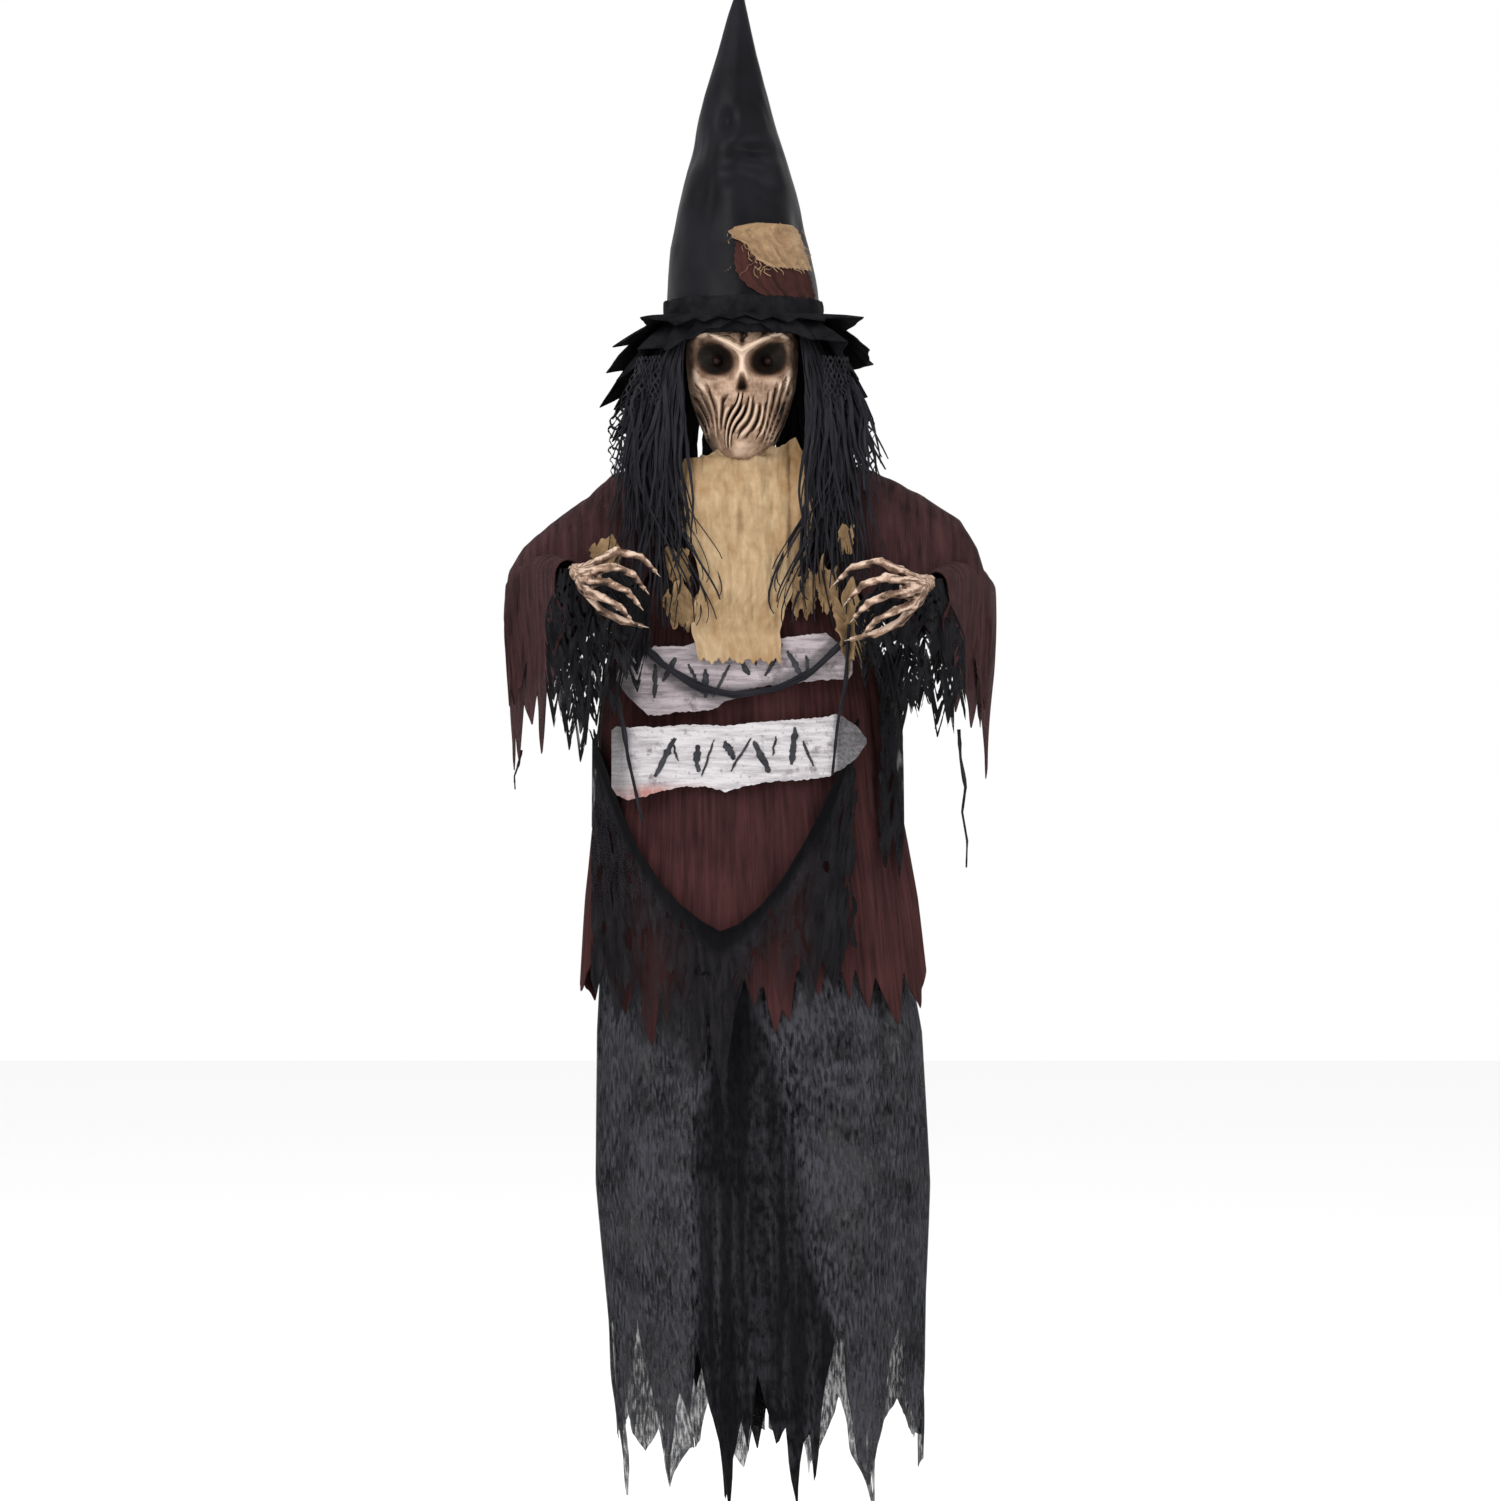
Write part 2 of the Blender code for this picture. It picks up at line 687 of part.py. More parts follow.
def build_chest_front():
    shell = shell_half("chest_front_shell", -GAP / 2, -CHEST_FRONT, ((0.05, 0.05, 0.055), 0.6))
    cut_split_holes(shell)
    for slot in range(GRILLE_SLOTS):
        z = SPEAKER_Z + (slot - (GRILLE_SLOTS - 1) / 2) * GRILLE_PITCH
        low = (-GRILLE_WIDTH / 2, -CHEST_FRONT - 0.01, z - GRILLE_SLOT / 2)
        high = (GRILLE_WIDTH / 2, -CHEST_FRONT + CHEST_WALL + 0.0002, z + GRILLE_SLOT / 2)
        cut(shell, box(low, high), f"grille_{slot}")
    sensor = cylinder(
        SENSOR_HOLE, (CONTROL_X, -CHEST_FRONT - 0.01, SHOULDER_Z - 0.02),
        (CONTROL_X, -CHEST_FRONT + 0.004, SHOULDER_Z - 0.02), 8,
    )
    cut(shell, sensor, "sensor_hole")
    for side, sign in SIDE_SIGN.items():
        hole = cylinder(
            SCREW_SHANK + SHAFT_GAP, (sign * SCREW_X, 0.01, SCREW_Z),
            (sign * SCREW_X, -SCREW_GRIP - MARGIN, SCREW_Z), 10,
        )
        cut(shell, hole, f"screw_hole_{side}")


def build_chest_back():
    shell = shell_half("chest_back_shell", GAP / 2, CHEST_BACK, ((0.05, 0.05, 0.055), 0.6))
    lug_reach = DOOR_HALF_WIDTH
    for side, sign in SIDE_SIGN.items():
        near = sign * (lug_reach + GAP)
        far = sign * (lug_reach + GAP + HINGE_LUG)
        low = (min(near, far), CHEST_BACK - CHEST_WALL / 2, HINGE_Z - HINGE_RADIUS)
        high = (max(near, far), HINGE_Y + HINGE_RADIUS, HINGE_Z + HINGE_RADIUS)
        join(shell, box(low, high), f"hinge_lug_{side}")
    cut_split_holes(shell)
    shaft_hole = cylinder(
        PINION_SHAFT + SHAFT_GAP, (0, PINION_Y, CHEST_TOP - 0.01), (0, PINION_Y, CHEST_TOP + 0.01), 12
    )
    cut(shell, shaft_hole, "shaft_hole")
    half_width = DOOR_HALF_WIDTH + DOOR_GAP
    half_height = DOOR_HALF_HEIGHT + DOOR_GAP
    doorway = box(
        (-half_width, CHEST_BACK - CHEST_WALL - CUT_PAST, TRAY_CENTRE_Z - half_height),
        (half_width, CHEST_BACK + 0.01, TRAY_CENTRE_Z + half_height),
    )
    cut(shell, doorway, "doorway")
    pin_reach = lug_reach + 2 * HINGE_LUG
    cut(
        shell,
        cylinder(HINGE_PIN + SHAFT_GAP, (-pin_reach, HINGE_Y, HINGE_Z), (pin_reach, HINGE_Y, HINGE_Z), 10),
        "hinge_pin_hole",
    )
    button_hole = cylinder(
        BUTTON_RADIUS + 2 * SHAFT_GAP, (CONTROL_X, CHEST_BACK - 0.01, CONTROL_Z),
        (CONTROL_X, CHEST_BACK + 0.01, CONTROL_Z),
    )
    cut(shell, button_hole, "button_hole")
    slot_side = SWITCH_SIZE / 2 + SWITCH_PLAY
    slot = box(
        (-CONTROL_X - slot_side, CHEST_BACK - 0.01, CONTROL_Z - slot_side),
        (-CONTROL_X + slot_side, CHEST_BACK + 0.01, CONTROL_Z + slot_side + SWITCH_TRAVEL),
    )
    cut(shell, slot, "switch_slot")
    for side, sign in SIDE_SIGN.items():
        hole = cylinder(
            SCREW_SHANK + SHAFT_GAP, (sign * SCREW_X, -0.01, SCREW_Z),
            (sign * SCREW_X, CHEST_BACK + 0.01, SCREW_Z), 10,
        )
        cut(shell, hole, f"screw_hole_{side}")


def build_shell_screws():
    for side, sign in SIDE_SIGN.items():
        profile = (
            (0, -SCREW_GRIP),
            (SCREW_SHANK, -SCREW_GRIP),
            (SCREW_SHANK, CHEST_BACK + GAP),
            (SCREW_HEAD, CHEST_BACK + GAP),
            (SCREW_HEAD, CHEST_BACK + GAP + SCREW_HEAD_HEIGHT),
            (0, CHEST_BACK + GAP + SCREW_HEAD_HEIGHT),
        )
        centre = (sign * SCREW_X, 0, SCREW_Z)
        shape = revolve(profile, 10, centre, (0, 1, 0), closed=False)
        make_object(f"shell_screw_{side}", shape, ((0.45, 0.45, 0.47), 0.35, 1.0))


def build_chest_plate():
    low = (-PLATE_HALF_WIDTH, -PLATE_FRONT, PLATE_BOTTOM)
    high = (PLATE_HALF_WIDTH, PLATE_BACK, PLATE_TOP)
    plate = make_object("chest_plate", box(low, high), ((0.50, 0.50, 0.52), 0.45, 1.0))
    above, below = PLATE_TOP + 0.01, PLATE_BOTTOM - 0.01
    cut(plate, cylinder(ROD_RADIUS + SHAFT_GAP, (0, 0, below), (0, 0, above), 12), "rod_hole")
    shaft = PINION_SHAFT + SHAFT_GAP
    cut(plate, cylinder(shaft, (0, PINION_Y, below), (0, PINION_Y, above), 12), "shaft_hole")


def build_gearmotor():
    top = PLATE_BOTTOM - GAP
    bottom = top - GEARBOX_HEIGHT
    case = make_object(
        "gearbox_case",
        cylinder(GEARBOX_RADIUS, (0, PINION_Y, bottom), (0, PINION_Y, top), 20),
        ((0.75, 0.74, 0.70), 0.5),
    )
    socket = cylinder(
        PINION_SHAFT + SHAFT_GAP, (0, PINION_Y, top - GEARBOX_HEIGHT * 0.8), (0, PINION_Y, top + 0.01), 12
    )
    cut(case, socket, "shaft_socket")
    motor_top = bottom - GAP
    motor = cylinder(
        MOTOR_RADIUS, (0, PINION_Y, motor_top - MOTOR_HEIGHT), (0, PINION_Y, motor_top), 20
    )
    make_object("motor_can", motor, ((0.55, 0.55, 0.57), 0.3, 1.0))


def build_speaker():
    front = -CHEST_FRONT + CHEST_WALL + GAP
    profile = (
        (0, SPEAKER_DISH),
        (SPEAKER_RADIUS * 0.35, SPEAKER_DISH),
        (SPEAKER_RADIUS * 0.85, 0.0015),
        (SPEAKER_RADIUS * 0.88, 0),
        (SPEAKER_RADIUS, 0),
        (SPEAKER_RADIUS, 0.003),
        (SPEAKER_RADIUS * 0.5, SPEAKER_DEPTH * 0.6),
        (SPEAKER_RADIUS * 0.5, SPEAKER_DEPTH),
        (0, SPEAKER_DEPTH),
    )
    shape = revolve(profile, 20, (0, front, SPEAKER_Z), (0, 1, 0), closed=False)
    make_object("speaker", shape, ((0.08, 0.08, 0.08), 0.7))


def build_circuit_board():
    front = -CHEST_FRONT + CHEST_WALL + GAP + SPEAKER_DEPTH + 0.008
    low = (-BOARD_HALF_WIDTH, front, SPEAKER_Z - BOARD_HEIGHT / 2)
    high = (BOARD_HALF_WIDTH, front + BOARD_THICKNESS, SPEAKER_Z + BOARD_HEIGHT / 2)
    make_object("circuit_board", box(low, high), ((0.05, 0.25, 0.10), 0.5))


def build_sound_sensor():
    front = -CHEST_FRONT + CHEST_WALL + GAP
    start = (CONTROL_X, front, SHOULDER_Z - 0.02)
    end = (CONTROL_X, front + SENSOR_LENGTH, SHOULDER_Z - 0.02)
    make_object("sound_sensor", cylinder(SENSOR_RADIUS, start, end), ((0.2, 0.2, 0.2), 0.5))


def build_battery_tray():
    low = (-TRAY_HALF_WIDTH, TRAY_FRONT, TRAY_CENTRE_Z - TRAY_HALF_HEIGHT)
    high = (TRAY_HALF_WIDTH, TRAY_BACK, TRAY_CENTRE_Z + TRAY_HALF_HEIGHT)
    tray = make_object("battery_tray", box(low, high), ((0.06, 0.06, 0.06), 0.6))
    inside_low = [low[0] + TRAY_WALL, low[1] + TRAY_WALL, low[2] + TRAY_WALL]
    inside_high = [high[0] - TRAY_WALL, high[1] + 0.01, high[2] - TRAY_WALL]
    cut(tray, box(inside_low, inside_high), "inside")


def build_battery_cells():
    for cell in range(CELLS):
        z = TRAY_CENTRE_Z + (cell - (CELLS - 1) / 2) * CELL_PITCH
        nub = 0.0015
        profile = (
            (0, 0),
            (CELL_RADIUS, 0),
            (CELL_RADIUS, CELL_LENGTH - nub),
            (CELL_RADIUS * 0.4, CELL_LENGTH - nub),
            (CELL_RADIUS * 0.4, CELL_LENGTH),
            (0, CELL_LENGTH),
        )
        shape = revolve(profile, 14, (-CELL_LENGTH / 2, CELL_Y, z), (1, 0, 0), closed=False)
        make_object(f"battery_cell_{cell + 1}", shape, ((0.35, 0.33, 0.30), 0.4, 0.5))


def build_contact_strip():
    x = CELL_LENGTH / 2 + GAP
    half = TRAY_HALF_HEIGHT - TRAY_WALL - GAP
    low = (x, TRAY_FRONT + TRAY_WALL + GAP, TRAY_CENTRE_Z - half)
    high = (x + STRIP_THICKNESS, TRAY_BACK - MARGIN, TRAY_CENTRE_Z + half)
    make_object("contact_strip", box(low, high), ((0.70, 0.65, 0.45), 0.3, 1.0))


def build_battery_door(door_pivot):
    outer, inner = CHEST_BACK, CHEST_BACK - DOOR_THICKNESS
    top = TRAY_CENTRE_Z + DOOR_HALF_HEIGHT
    step = DOOR_BOTTOM + CUT_PAST
    outline = [(inner, top), (outer, top), (outer, step)]
    for k in range(7):
        angle = math.radians(75 - 40 * k)
        outline.append(
            (HINGE_Y + HINGE_RADIUS * math.cos(angle), HINGE_Z + HINGE_RADIUS * math.sin(angle))
        )
    outline += [(outer + DOOR_GAP, DOOR_BOTTOM), (inner, DOOR_BOTTOM)]
    door = make_object(
        "battery_door",
        prism(outline, -DOOR_HALF_WIDTH, 2 * DOOR_HALF_WIDTH, "YZ"),
        ((0.06, 0.06, 0.06), 0.6),
        door_pivot,
    )
    reach = DOOR_HALF_WIDTH + HINGE_LUG
    join(door, cylinder(HINGE_PIN, (-reach, HINGE_Y, HINGE_Z), (reach, HINGE_Y, HINGE_Z), 10), "pins")
    screw_z = top - DOOR_SCREW_DROP
    hole = cylinder(SCREW_SHANK + SHAFT_GAP, (0, inner - 0.01, screw_z), (0, outer + 0.01, screw_z), 10)
    cut(door, hole, "screw_hole")
    profile = (
        (0, inner - 0.0004),
        (SCREW_SHANK, inner - 0.0004),
        (SCREW_SHANK, outer + GAP),
        (SCREW_HEAD, outer + GAP),
        (SCREW_HEAD, outer + GAP + SCREW_HEAD_HEIGHT),
        (0, outer + GAP + SCREW_HEAD_HEIGHT),
    )
    screw = revolve(profile, 10, (0, 0, screw_z), (0, 1, 0), closed=False)
    make_object("door_screw", screw, ((0.45, 0.45, 0.47), 0.35, 1.0), door_pivot)


def build_controls(button_pivot, switch_pivot):
    back = CHEST_BACK + BUTTON_STANDS
    button = cylinder(
        BUTTON_RADIUS, (CONTROL_X, back - CONTROL_LENGTH, CONTROL_Z), (CONTROL_X, back, CONTROL_Z)
    )
    make_object("test_button", button, ((0.55, 0.05, 0.04), 0.4), button_pivot)
    half = SWITCH_SIZE / 2
    knob = box(
        (-CONTROL_X - half, back - CONTROL_LENGTH, CONTROL_Z - half),
        (-CONTROL_X + half, back, CONTROL_Z + half),
    )
    make_object("mode_switch", knob, ((0.10, 0.10, 0.10), 0.5), switch_pivot)


# ---- Head ----

def head_width(z):
    """How wide the head is at a height, as a share: full above the middle, narrower to the chin."""
    below = max(0.0, (HEAD_CENTRE_Z - z) / HEAD_HALF_HEIGHT)
    return 1.0 - CHIN_TAPER * below * below


def head_half(name, depth, way, colour, head):
    """Front or back half of the head, as a shell whose rim lies on the split."""
    rows, columns = 12, 12
    shape = bmesh.new()
    split = way * GAP / 2

    def surface(inset):
        made = []
        for row in range(rows + 1):
            polar = math.pi * row / rows
            z = HEAD_CENTRE_Z + (HEAD_HALF_HEIGHT - inset) * math.cos(polar)
            if row in (0, rows):
                made.append([shape.verts.new((0, split, z))])
                continue
            line = []
            for column in range(columns + 1):
                round_it = math.pi * column / columns
                x = (HEAD_HALF_WIDTH * head_width(z) - inset) * math.sin(polar) * math.cos(round_it)
                y = way * (depth - inset) * math.sin(polar) * math.sin(round_it) + split
                line.append(shape.verts.new((x, y, z)))
            made.append(line)
        for first, second in zip(made, made[1:]):
            for i in range(columns):
                if len(first) == 1:
                    shape.faces.new((first[0], second[i], second[i + 1]))
                elif len(second) == 1:
                    shape.faces.new((first[i], first[i + 1], second[0]))
                else:
                    shape.faces.new((first[i], first[i + 1], second[i + 1], second[i]))
        return made

    outer, inner = surface(0.0), surface(HEAD_WALL)
    for end in (0, -1):
        for row in range(rows):
            ring = (outer[row][end], outer[row + 1][end], inner[row + 1][end], inner[row][end])
            shape.faces.new(ring)
    half = make_object(name, shape, colour, head)
    top = HEAD_CENTRE_Z + HEAD_HALF_HEIGHT
    cut(half, cylinder(ROD_RADIUS + 2 * SHAFT_GAP, (0, 0, top - 0.012), (0, 0, top + 0.01), 12), "rod_hole")
    neck = NECK_HUB_RADIUS + SHAFT_GAP
    cut(half, cylinder(neck, (0, 0, HEAD_BOTTOM - 0.01), (0, 0, HEAD_BOTTOM + 0.012)), "neck_hole")
    return half


def build_head(head):
    bone = ((0.30, 0.20, 0.13), 0.65)
    mask = head_half("face_mask", FACE_DEPTH, -1.0, bone, head)
    head_half("skull_back", BACK_DEPTH, 1.0, bone, head)
    eye_z = HEAD_CENTRE_Z + EYE_HEIGHT
    for side, sign in SIDE_SIGN.items():
        x = sign * EYE_SPACING / 2
        socket = cylinder(EYE_HOLE_RADIUS, (x, -FACE_DEPTH - 0.01, eye_z), (x, -FACE_DEPTH / 2, eye_z))
        cut(mask, socket, f"socket_{side}")
        front = -FACE_DEPTH + 0.015
        profile = (
            (0, 0),
            (EYE_LIGHT_RADIUS * 0.6, MARGIN),
            (EYE_LIGHT_RADIUS, 0.005),
            (EYE_LIGHT_RADIUS, EYE_LIGHT_LENGTH),
            (0, EYE_LIGHT_LENGTH),
        )
        shape = revolve(profile, 14, (x, front, eye_z), (0, 1, 0), closed=False)
        make_object(f"eye_light_{side}", shape, ((0.35, 0.02, 0.01), 0.3), head)


# ---- Hat ----

def hat_radius(z):
    """The crown's outer radius at a height."""
    share = max(0.0, (HAT_TIP_Z + 0.010 - z) / (HAT_TIP_Z + 0.010 - HAT_BASE_Z))
    return max(HAT_TIP_RADIUS, HAT_RADIUS * share**HAT_BULGE)


def hat_point(radius, side, z):
    """A point on one of the crown's corners, counted from the middle of the front to +X."""
    angle = 2 * math.pi * side / HAT_SIDES - math.pi / 2
    return Vector((radius * math.cos(angle), radius * math.sin(angle), z))


def hat_ring(radius, z):
    return [hat_point(radius, side, z) for side in range(HAT_SIDES)]


def build_hat_crown(head):
    steps = 7
    heights = []
    for step in range(steps + 1):
        share = (step / steps) ** 1.4
        heights.append(HAT_TIP_Z + (HAT_BASE_Z - HAT_TIP_Z) * share)
    outer = [hat_ring(hat_radius(z), z) for z in heights]
    inner = [hat_ring(hat_radius(z) - HAT_WALL, z) for z in heights]
    make_object("hat_crown", walled_tube(outer, inner), ((0.02, 0.02, 0.024), 0.45), head)


def build_tip_grommet(head):
    inner = ROD_RADIUS + SHAFT_GAP
    barrel = HAT_TIP_RADIUS - HAT_WALL - GAP
    profile = (
        (inner, -0.010),
        (barrel, -0.010),
        (barrel, GAP),
        (HAT_TIP_RADIUS, GAP),
        (HAT_TIP_RADIUS, 0.003),
        (inner, 0.003),
    )
    shape = revolve(profile, 16, (0, 0, HAT_TIP_Z))
    make_object("tip_grommet", shape, ((0.03, 0.03, 0.03), 0.6), head)


def build_hat_band(head):
    low = HAT_BASE_Z + MARGIN
    heights = (low + BAND_HEIGHT, low)
    near, far = CLOTH_LIFT, CLOTH_LIFT + BAND_THICKNESS
    outer = [hat_ring(hat_radius(z) + far, z) for z in heights]
    inner = [hat_ring(hat_radius(z) + near, z) for z in heights]
    make_object("hat_band", walled_tube(outer, inner), ((0.02, 0.02, 0.02), 0.8), head)


def build_hat_patch(name, top, colour, head):
    """A patch that lies on whole sides of the crown."""
    bottom = top - PATCH_HEIGHT
    outer = CLOTH_LIFT + PATCH_THICKNESS
    rings = []
    for step in range(PATCH_SIDES + 1):
        side = PATCH_FIRST_SIDE + step
        ring = []
        for z, out in ((top, CLOTH_LIFT), (bottom, CLOTH_LIFT), (bottom, outer), (top, outer)):
            ring.append(hat_point(hat_radius(z) + out, side, z))
        rings.append(ring)
    make_object(name, loft(rings), colour, head)


def brim_droop(angle):
    """How far the brim's edge hangs at an angle round the rod: most at the sides."""
    sideways = math.cos(angle) ** 2
    lengthways = BRIM_DROOP_FRONT if math.sin(angle) < 0 else BRIM_DROOP_BACK
    return BRIM_DROOP_SIDE * sideways + lengthways * (1.0 - sideways)


def build_hat_brim(head):
    """The brim lies flat under the crown and droops outside it, with a torn edge."""
    sides = 32
    top = HAT_BASE_Z - 2 * GAP
    flat = HAT_RADIUS + BRIM_LEVEL
    inner_z = top - HEAD_CENTRE_Z
    share = math.sqrt(1.0 - (inner_z / HEAD_HALF_HEIGHT) ** 2)
    clearance = 0.003
    outer, inner = [], []
    for shift, rings in ((0.0, outer), (-BRIM_WALL, inner)):
        loops = [[], [], [], []]
        for i in range(sides):
            angle = 2 * math.pi * i / sides
            out = Vector((math.cos(angle), math.sin(angle), 0))
            depth = FACE_DEPTH if out.y < 0 else BACK_DEPTH
            oval = Vector(
                (out.x * (HEAD_HALF_WIDTH * share + clearance), out.y * (depth * share + clearance), 0)
            )
            reach = BRIM_REACH + BRIM_TEAR * torn_wave(i, 1.0) - BRIM_TEAR / 2
            droop = brim_droop(angle)
            loops[0].append(oval + Vector((0, 0, top + shift)))
            loops[1].append(out * flat + Vector((0, 0, top + shift)))
            loops[2].append(out * (flat + reach) / 2 + Vector((0, 0, top + shift - droop * 0.42)))
            loops[3].append(out * reach + Vector((0, 0, top + shift - droop)))
        rings.extend(loops)
    make_object("hat_brim", walled_tube(outer, inner), ((0.015, 0.015, 0.017), 0.85), head)


# ---- Arms ----

def arm_frame(side):
    """Elbow, wrist, and the directions of the upper arm, the forearm and the elbow's axis."""
    sign = SIDE_SIGN[side]
    shoulder = Vector((sign * (HUB_INNER + SHOULDER_HUB_WIDTH / 2), 0, SHOULDER_Z))
    elbow, wrist = Vector(ELBOWS[side]), Vector(WRISTS[side])
    upper = (elbow - shoulder).normalized()
    fore = (wrist - elbow).normalized()
    axis = fore.cross(upper).normalized()
    if axis.z > 0:
        axis = -axis
    return shoulder, elbow, wrist, upper, fore, axis


def slab_between(start, end, axis, centre, half_thickness, half_height):
    """A flat bar with its thickness along the axis, from one point to another."""
    along = (end - start).normalized()
    across = axis.cross(along).normalized() * half_height
    thick = axis * half_thickness
    rings = []
    for point in (start, end):
        middle = point + centre
        rings.append([middle + across + thick, middle - across + thick,
                      middle - across - thick, middle + across - thick])
    return loft(rings)


def build_upper_arm(side, pivot):
    sign = SIDE_SIGN[side]
    shoulder, elbow, _, upper, _, axis = arm_frame(side)
    stub_start = (sign * (HUB_INNER - SHOULDER_STUB), 0, SHOULDER_Z)
    hub_start = (sign * HUB_INNER, 0, SHOULDER_Z)
    hub_end = (sign * HUB_OUTER, 0, SHOULDER_Z)
    arm = make_object(
        f"{side}_upper_arm",
        cylinder(SHOULDER_HUB_RADIUS, hub_start, hub_end, 18),
        ((0.12, 0.11, 0.10), 0.6),
        pivot,
    )
    stub = cylinder(SHOULDER_TUBE_OUTER - SHOULDER_TUBE_WALL - SHAFT_GAP, stub_start, shoulder)
    join(arm, stub, "stub")
    limb_end = elbow - upper * ELBOW_REACH
    join(arm, tube_path((shoulder, limb_end), (ARM_RADIUS, ARM_RADIUS_AT_ELBOW + 0.003), 10), "limb")
    offset = ELBOW_TONGUE / 2 + GAP + ELBOW_EAR / 2
    for ear, way in (("near", 1.0), ("far", -1.0)):
        middle = axis * offset * way
        strap = slab_between(
            elbow - upper * (ELBOW_REACH + ELBOW_LAP), elbow, axis, middle, ELBOW_EAR / 2, ELBOW_RADIUS * 0.62
        )
        join(arm, strap, f"{ear}_strap")
        disc = cylinder(
            ELBOW_RADIUS, elbow + middle - axis * ELBOW_EAR / 2, elbow + middle + axis * ELBOW_EAR / 2, 14
        )
        join(arm, disc, f"{ear}_ear")
    reach = axis * 0.02
    cut(arm, cylinder(ELBOW_PIN + SHAFT_GAP, elbow - reach, elbow + reach, 10), "pin_hole")


def build_elbow_pin(side, pivot):
    _, elbow, _, _, _, axis = arm_frame(side)
    half = axis * (ELBOW_TONGUE / 2 + GAP + ELBOW_EAR + MARGIN)
    shape = cylinder(ELBOW_PIN, elbow - half, elbow + half, 10)
    make_object(f"{side}_elbow_pin", shape, ((0.5, 0.5, 0.52), 0.35, 1.0), pivot)


def build_forearm(side, pivot):
    _, elbow, wrist, _, fore, axis = arm_frame(side)
    half = axis * ELBOW_TONGUE / 2
    arm = make_object(
        f"{side}_forearm",
        cylinder(ELBOW_RADIUS, elbow - half, elbow + half, 14),
        ((0.12, 0.11, 0.10), 0.6),
        pivot,
    )
    reach = elbow + fore * (ELBOW_REACH + ELBOW_LAP)
    strap_half = ELBOW_TONGUE / 2 - STRAP_INSET
    strap = slab_between(elbow, reach, axis, Vector(), strap_half, ELBOW_RADIUS * 0.6)
    join(arm, strap, "strap")
    limb = tube_path(
        (elbow + fore * ELBOW_REACH, elbow.lerp(wrist, 0.5), wrist - fore * WRIST_SEAT),
        (FOREARM_RADIUS * 0.9, FOREARM_RADIUS * 1.1, FOREARM_RADIUS * 0.9),
        10,
    )
    join(arm, limb, "limb")
    cut(arm, cylinder(ELBOW_PIN + SHAFT_GAP, elbow - axis * 0.02, elbow + axis * 0.02, 10), "pin_hole")


def build_hand(side, pivot):
    """A bony hand held palm down, its fingers bent over at the middle joint."""
    sign = SIDE_SIGN[side]
    _, _, wrist, _, fore, _ = arm_frame(side)
    inward = Vector((-sign * 0.80, -0.58, 0.14)).normalized()
    knuckles = wrist + inward * PALM_LENGTH
    spread = Vector((-sign * 0.45, 0.62, -0.05)).normalized()
    flat = Vector((0, 0, 1))
    square = (spread - fore * spread.dot(fore)).normalized()
    start = wrist - fore * (WRIST_SEAT - GAP)
    rings = []
    for point, wide, high, half_width, half_height in (
        (start, square, square.cross(fore).normalized() * sign, 0.009, 0.008),
        (wrist.lerp(knuckles, 0.45), spread, flat, 0.019, 0.009),
        (knuckles, spread, flat, 0.024, 0.007),
    ):
        ring = []
        for k in range(10):
            angle = 2 * math.pi * k / 10
            out = wide * math.cos(angle) * half_width + high * math.sin(angle) * half_height
            ring.append(point + out)
        rings.append(ring)
    hand = make_object(f"{side}_hand", loft(rings), ((0.30, 0.20, 0.14), 0.6), pivot)
    for finger, length in enumerate(FINGER_LENGTHS):
        root = knuckles - inward * FINGER_ROOT + spread * (finger - 1.5) * FINGER_SPREAD
        middle = root + (inward + flat * 0.12) * length * 0.5
        last = middle + (inward * 0.75 - flat * 0.75) * length * 0.35
        tip = last + (inward * 0.35 - flat) * length * 0.32
        radii = (FINGER_RADIUS, FINGER_RADIUS, FINGER_RADIUS * 0.85, FINGER_TIP_RADIUS)
        join(hand, tube_path((root, middle, last, tip), radii, 6), f"finger_{finger + 1}")
    thumb_root = wrist.lerp(knuckles, 0.45) + spread * 0.010
    thumb_tip = thumb_root + (spread + inward * 0.8 - flat * 0.7).normalized() * THUMB_LENGTH
    thumb = tube_path((thumb_root, thumb_root.lerp(thumb_tip, 0.5), thumb_tip),
                      (FINGER_RADIUS, FINGER_RADIUS, FINGER_TIP_RADIUS), 6)
    join(hand, thumb, "thumb")


def build_sleeve(side, pivot):
    """The wide sleeve: a tube round the upper arm, and the part that hangs from its end."""
    sign = SIDE_SIGN[side]
    shoulder, elbow, _, upper, _, _ = arm_frame(side)
    start = shoulder + upper * SLEEVE_START
    end = elbow - upper * SLEEVE_BEFORE_ELBOW
    sleeve = make_object(
        f"{side}_sleeve",
        pipe(SLEEVE_OUTER, SLEEVE_INNER, start, end, 16),
        ((0.05, 0.025, 0.025), 0.85),
        pivot,
    )
    top = end.z - (SLEEVE_INNER + SLEEVE_OUTER) / 2 - MARGIN
    hem = elbow.z - SLEEVE_DROP
    inner = end.x - sign * 0.024
    outer = elbow.x + sign * HEM_STEP
    under_elbow = elbow.z - 0.038
    outline = (
        (inner, top),
        (end.x - sign * CUT_PAST, top),
        (end.x + sign * 0.010, under_elbow),
        (outer, under_elbow),
        (outer - sign * 0.003, hem),
        (outer - sign * 0.020, hem + 0.040),
        (outer - sign * 0.034, hem + 0.012),
        (inner + sign * 0.004, hem + 0.050),
    )
    hang = prism(outline, -SLEEVE_HALF_THICKNESS, 2 * SLEEVE_HALF_THICKNESS, "XZ")
    join(sleeve, hang, "hang")


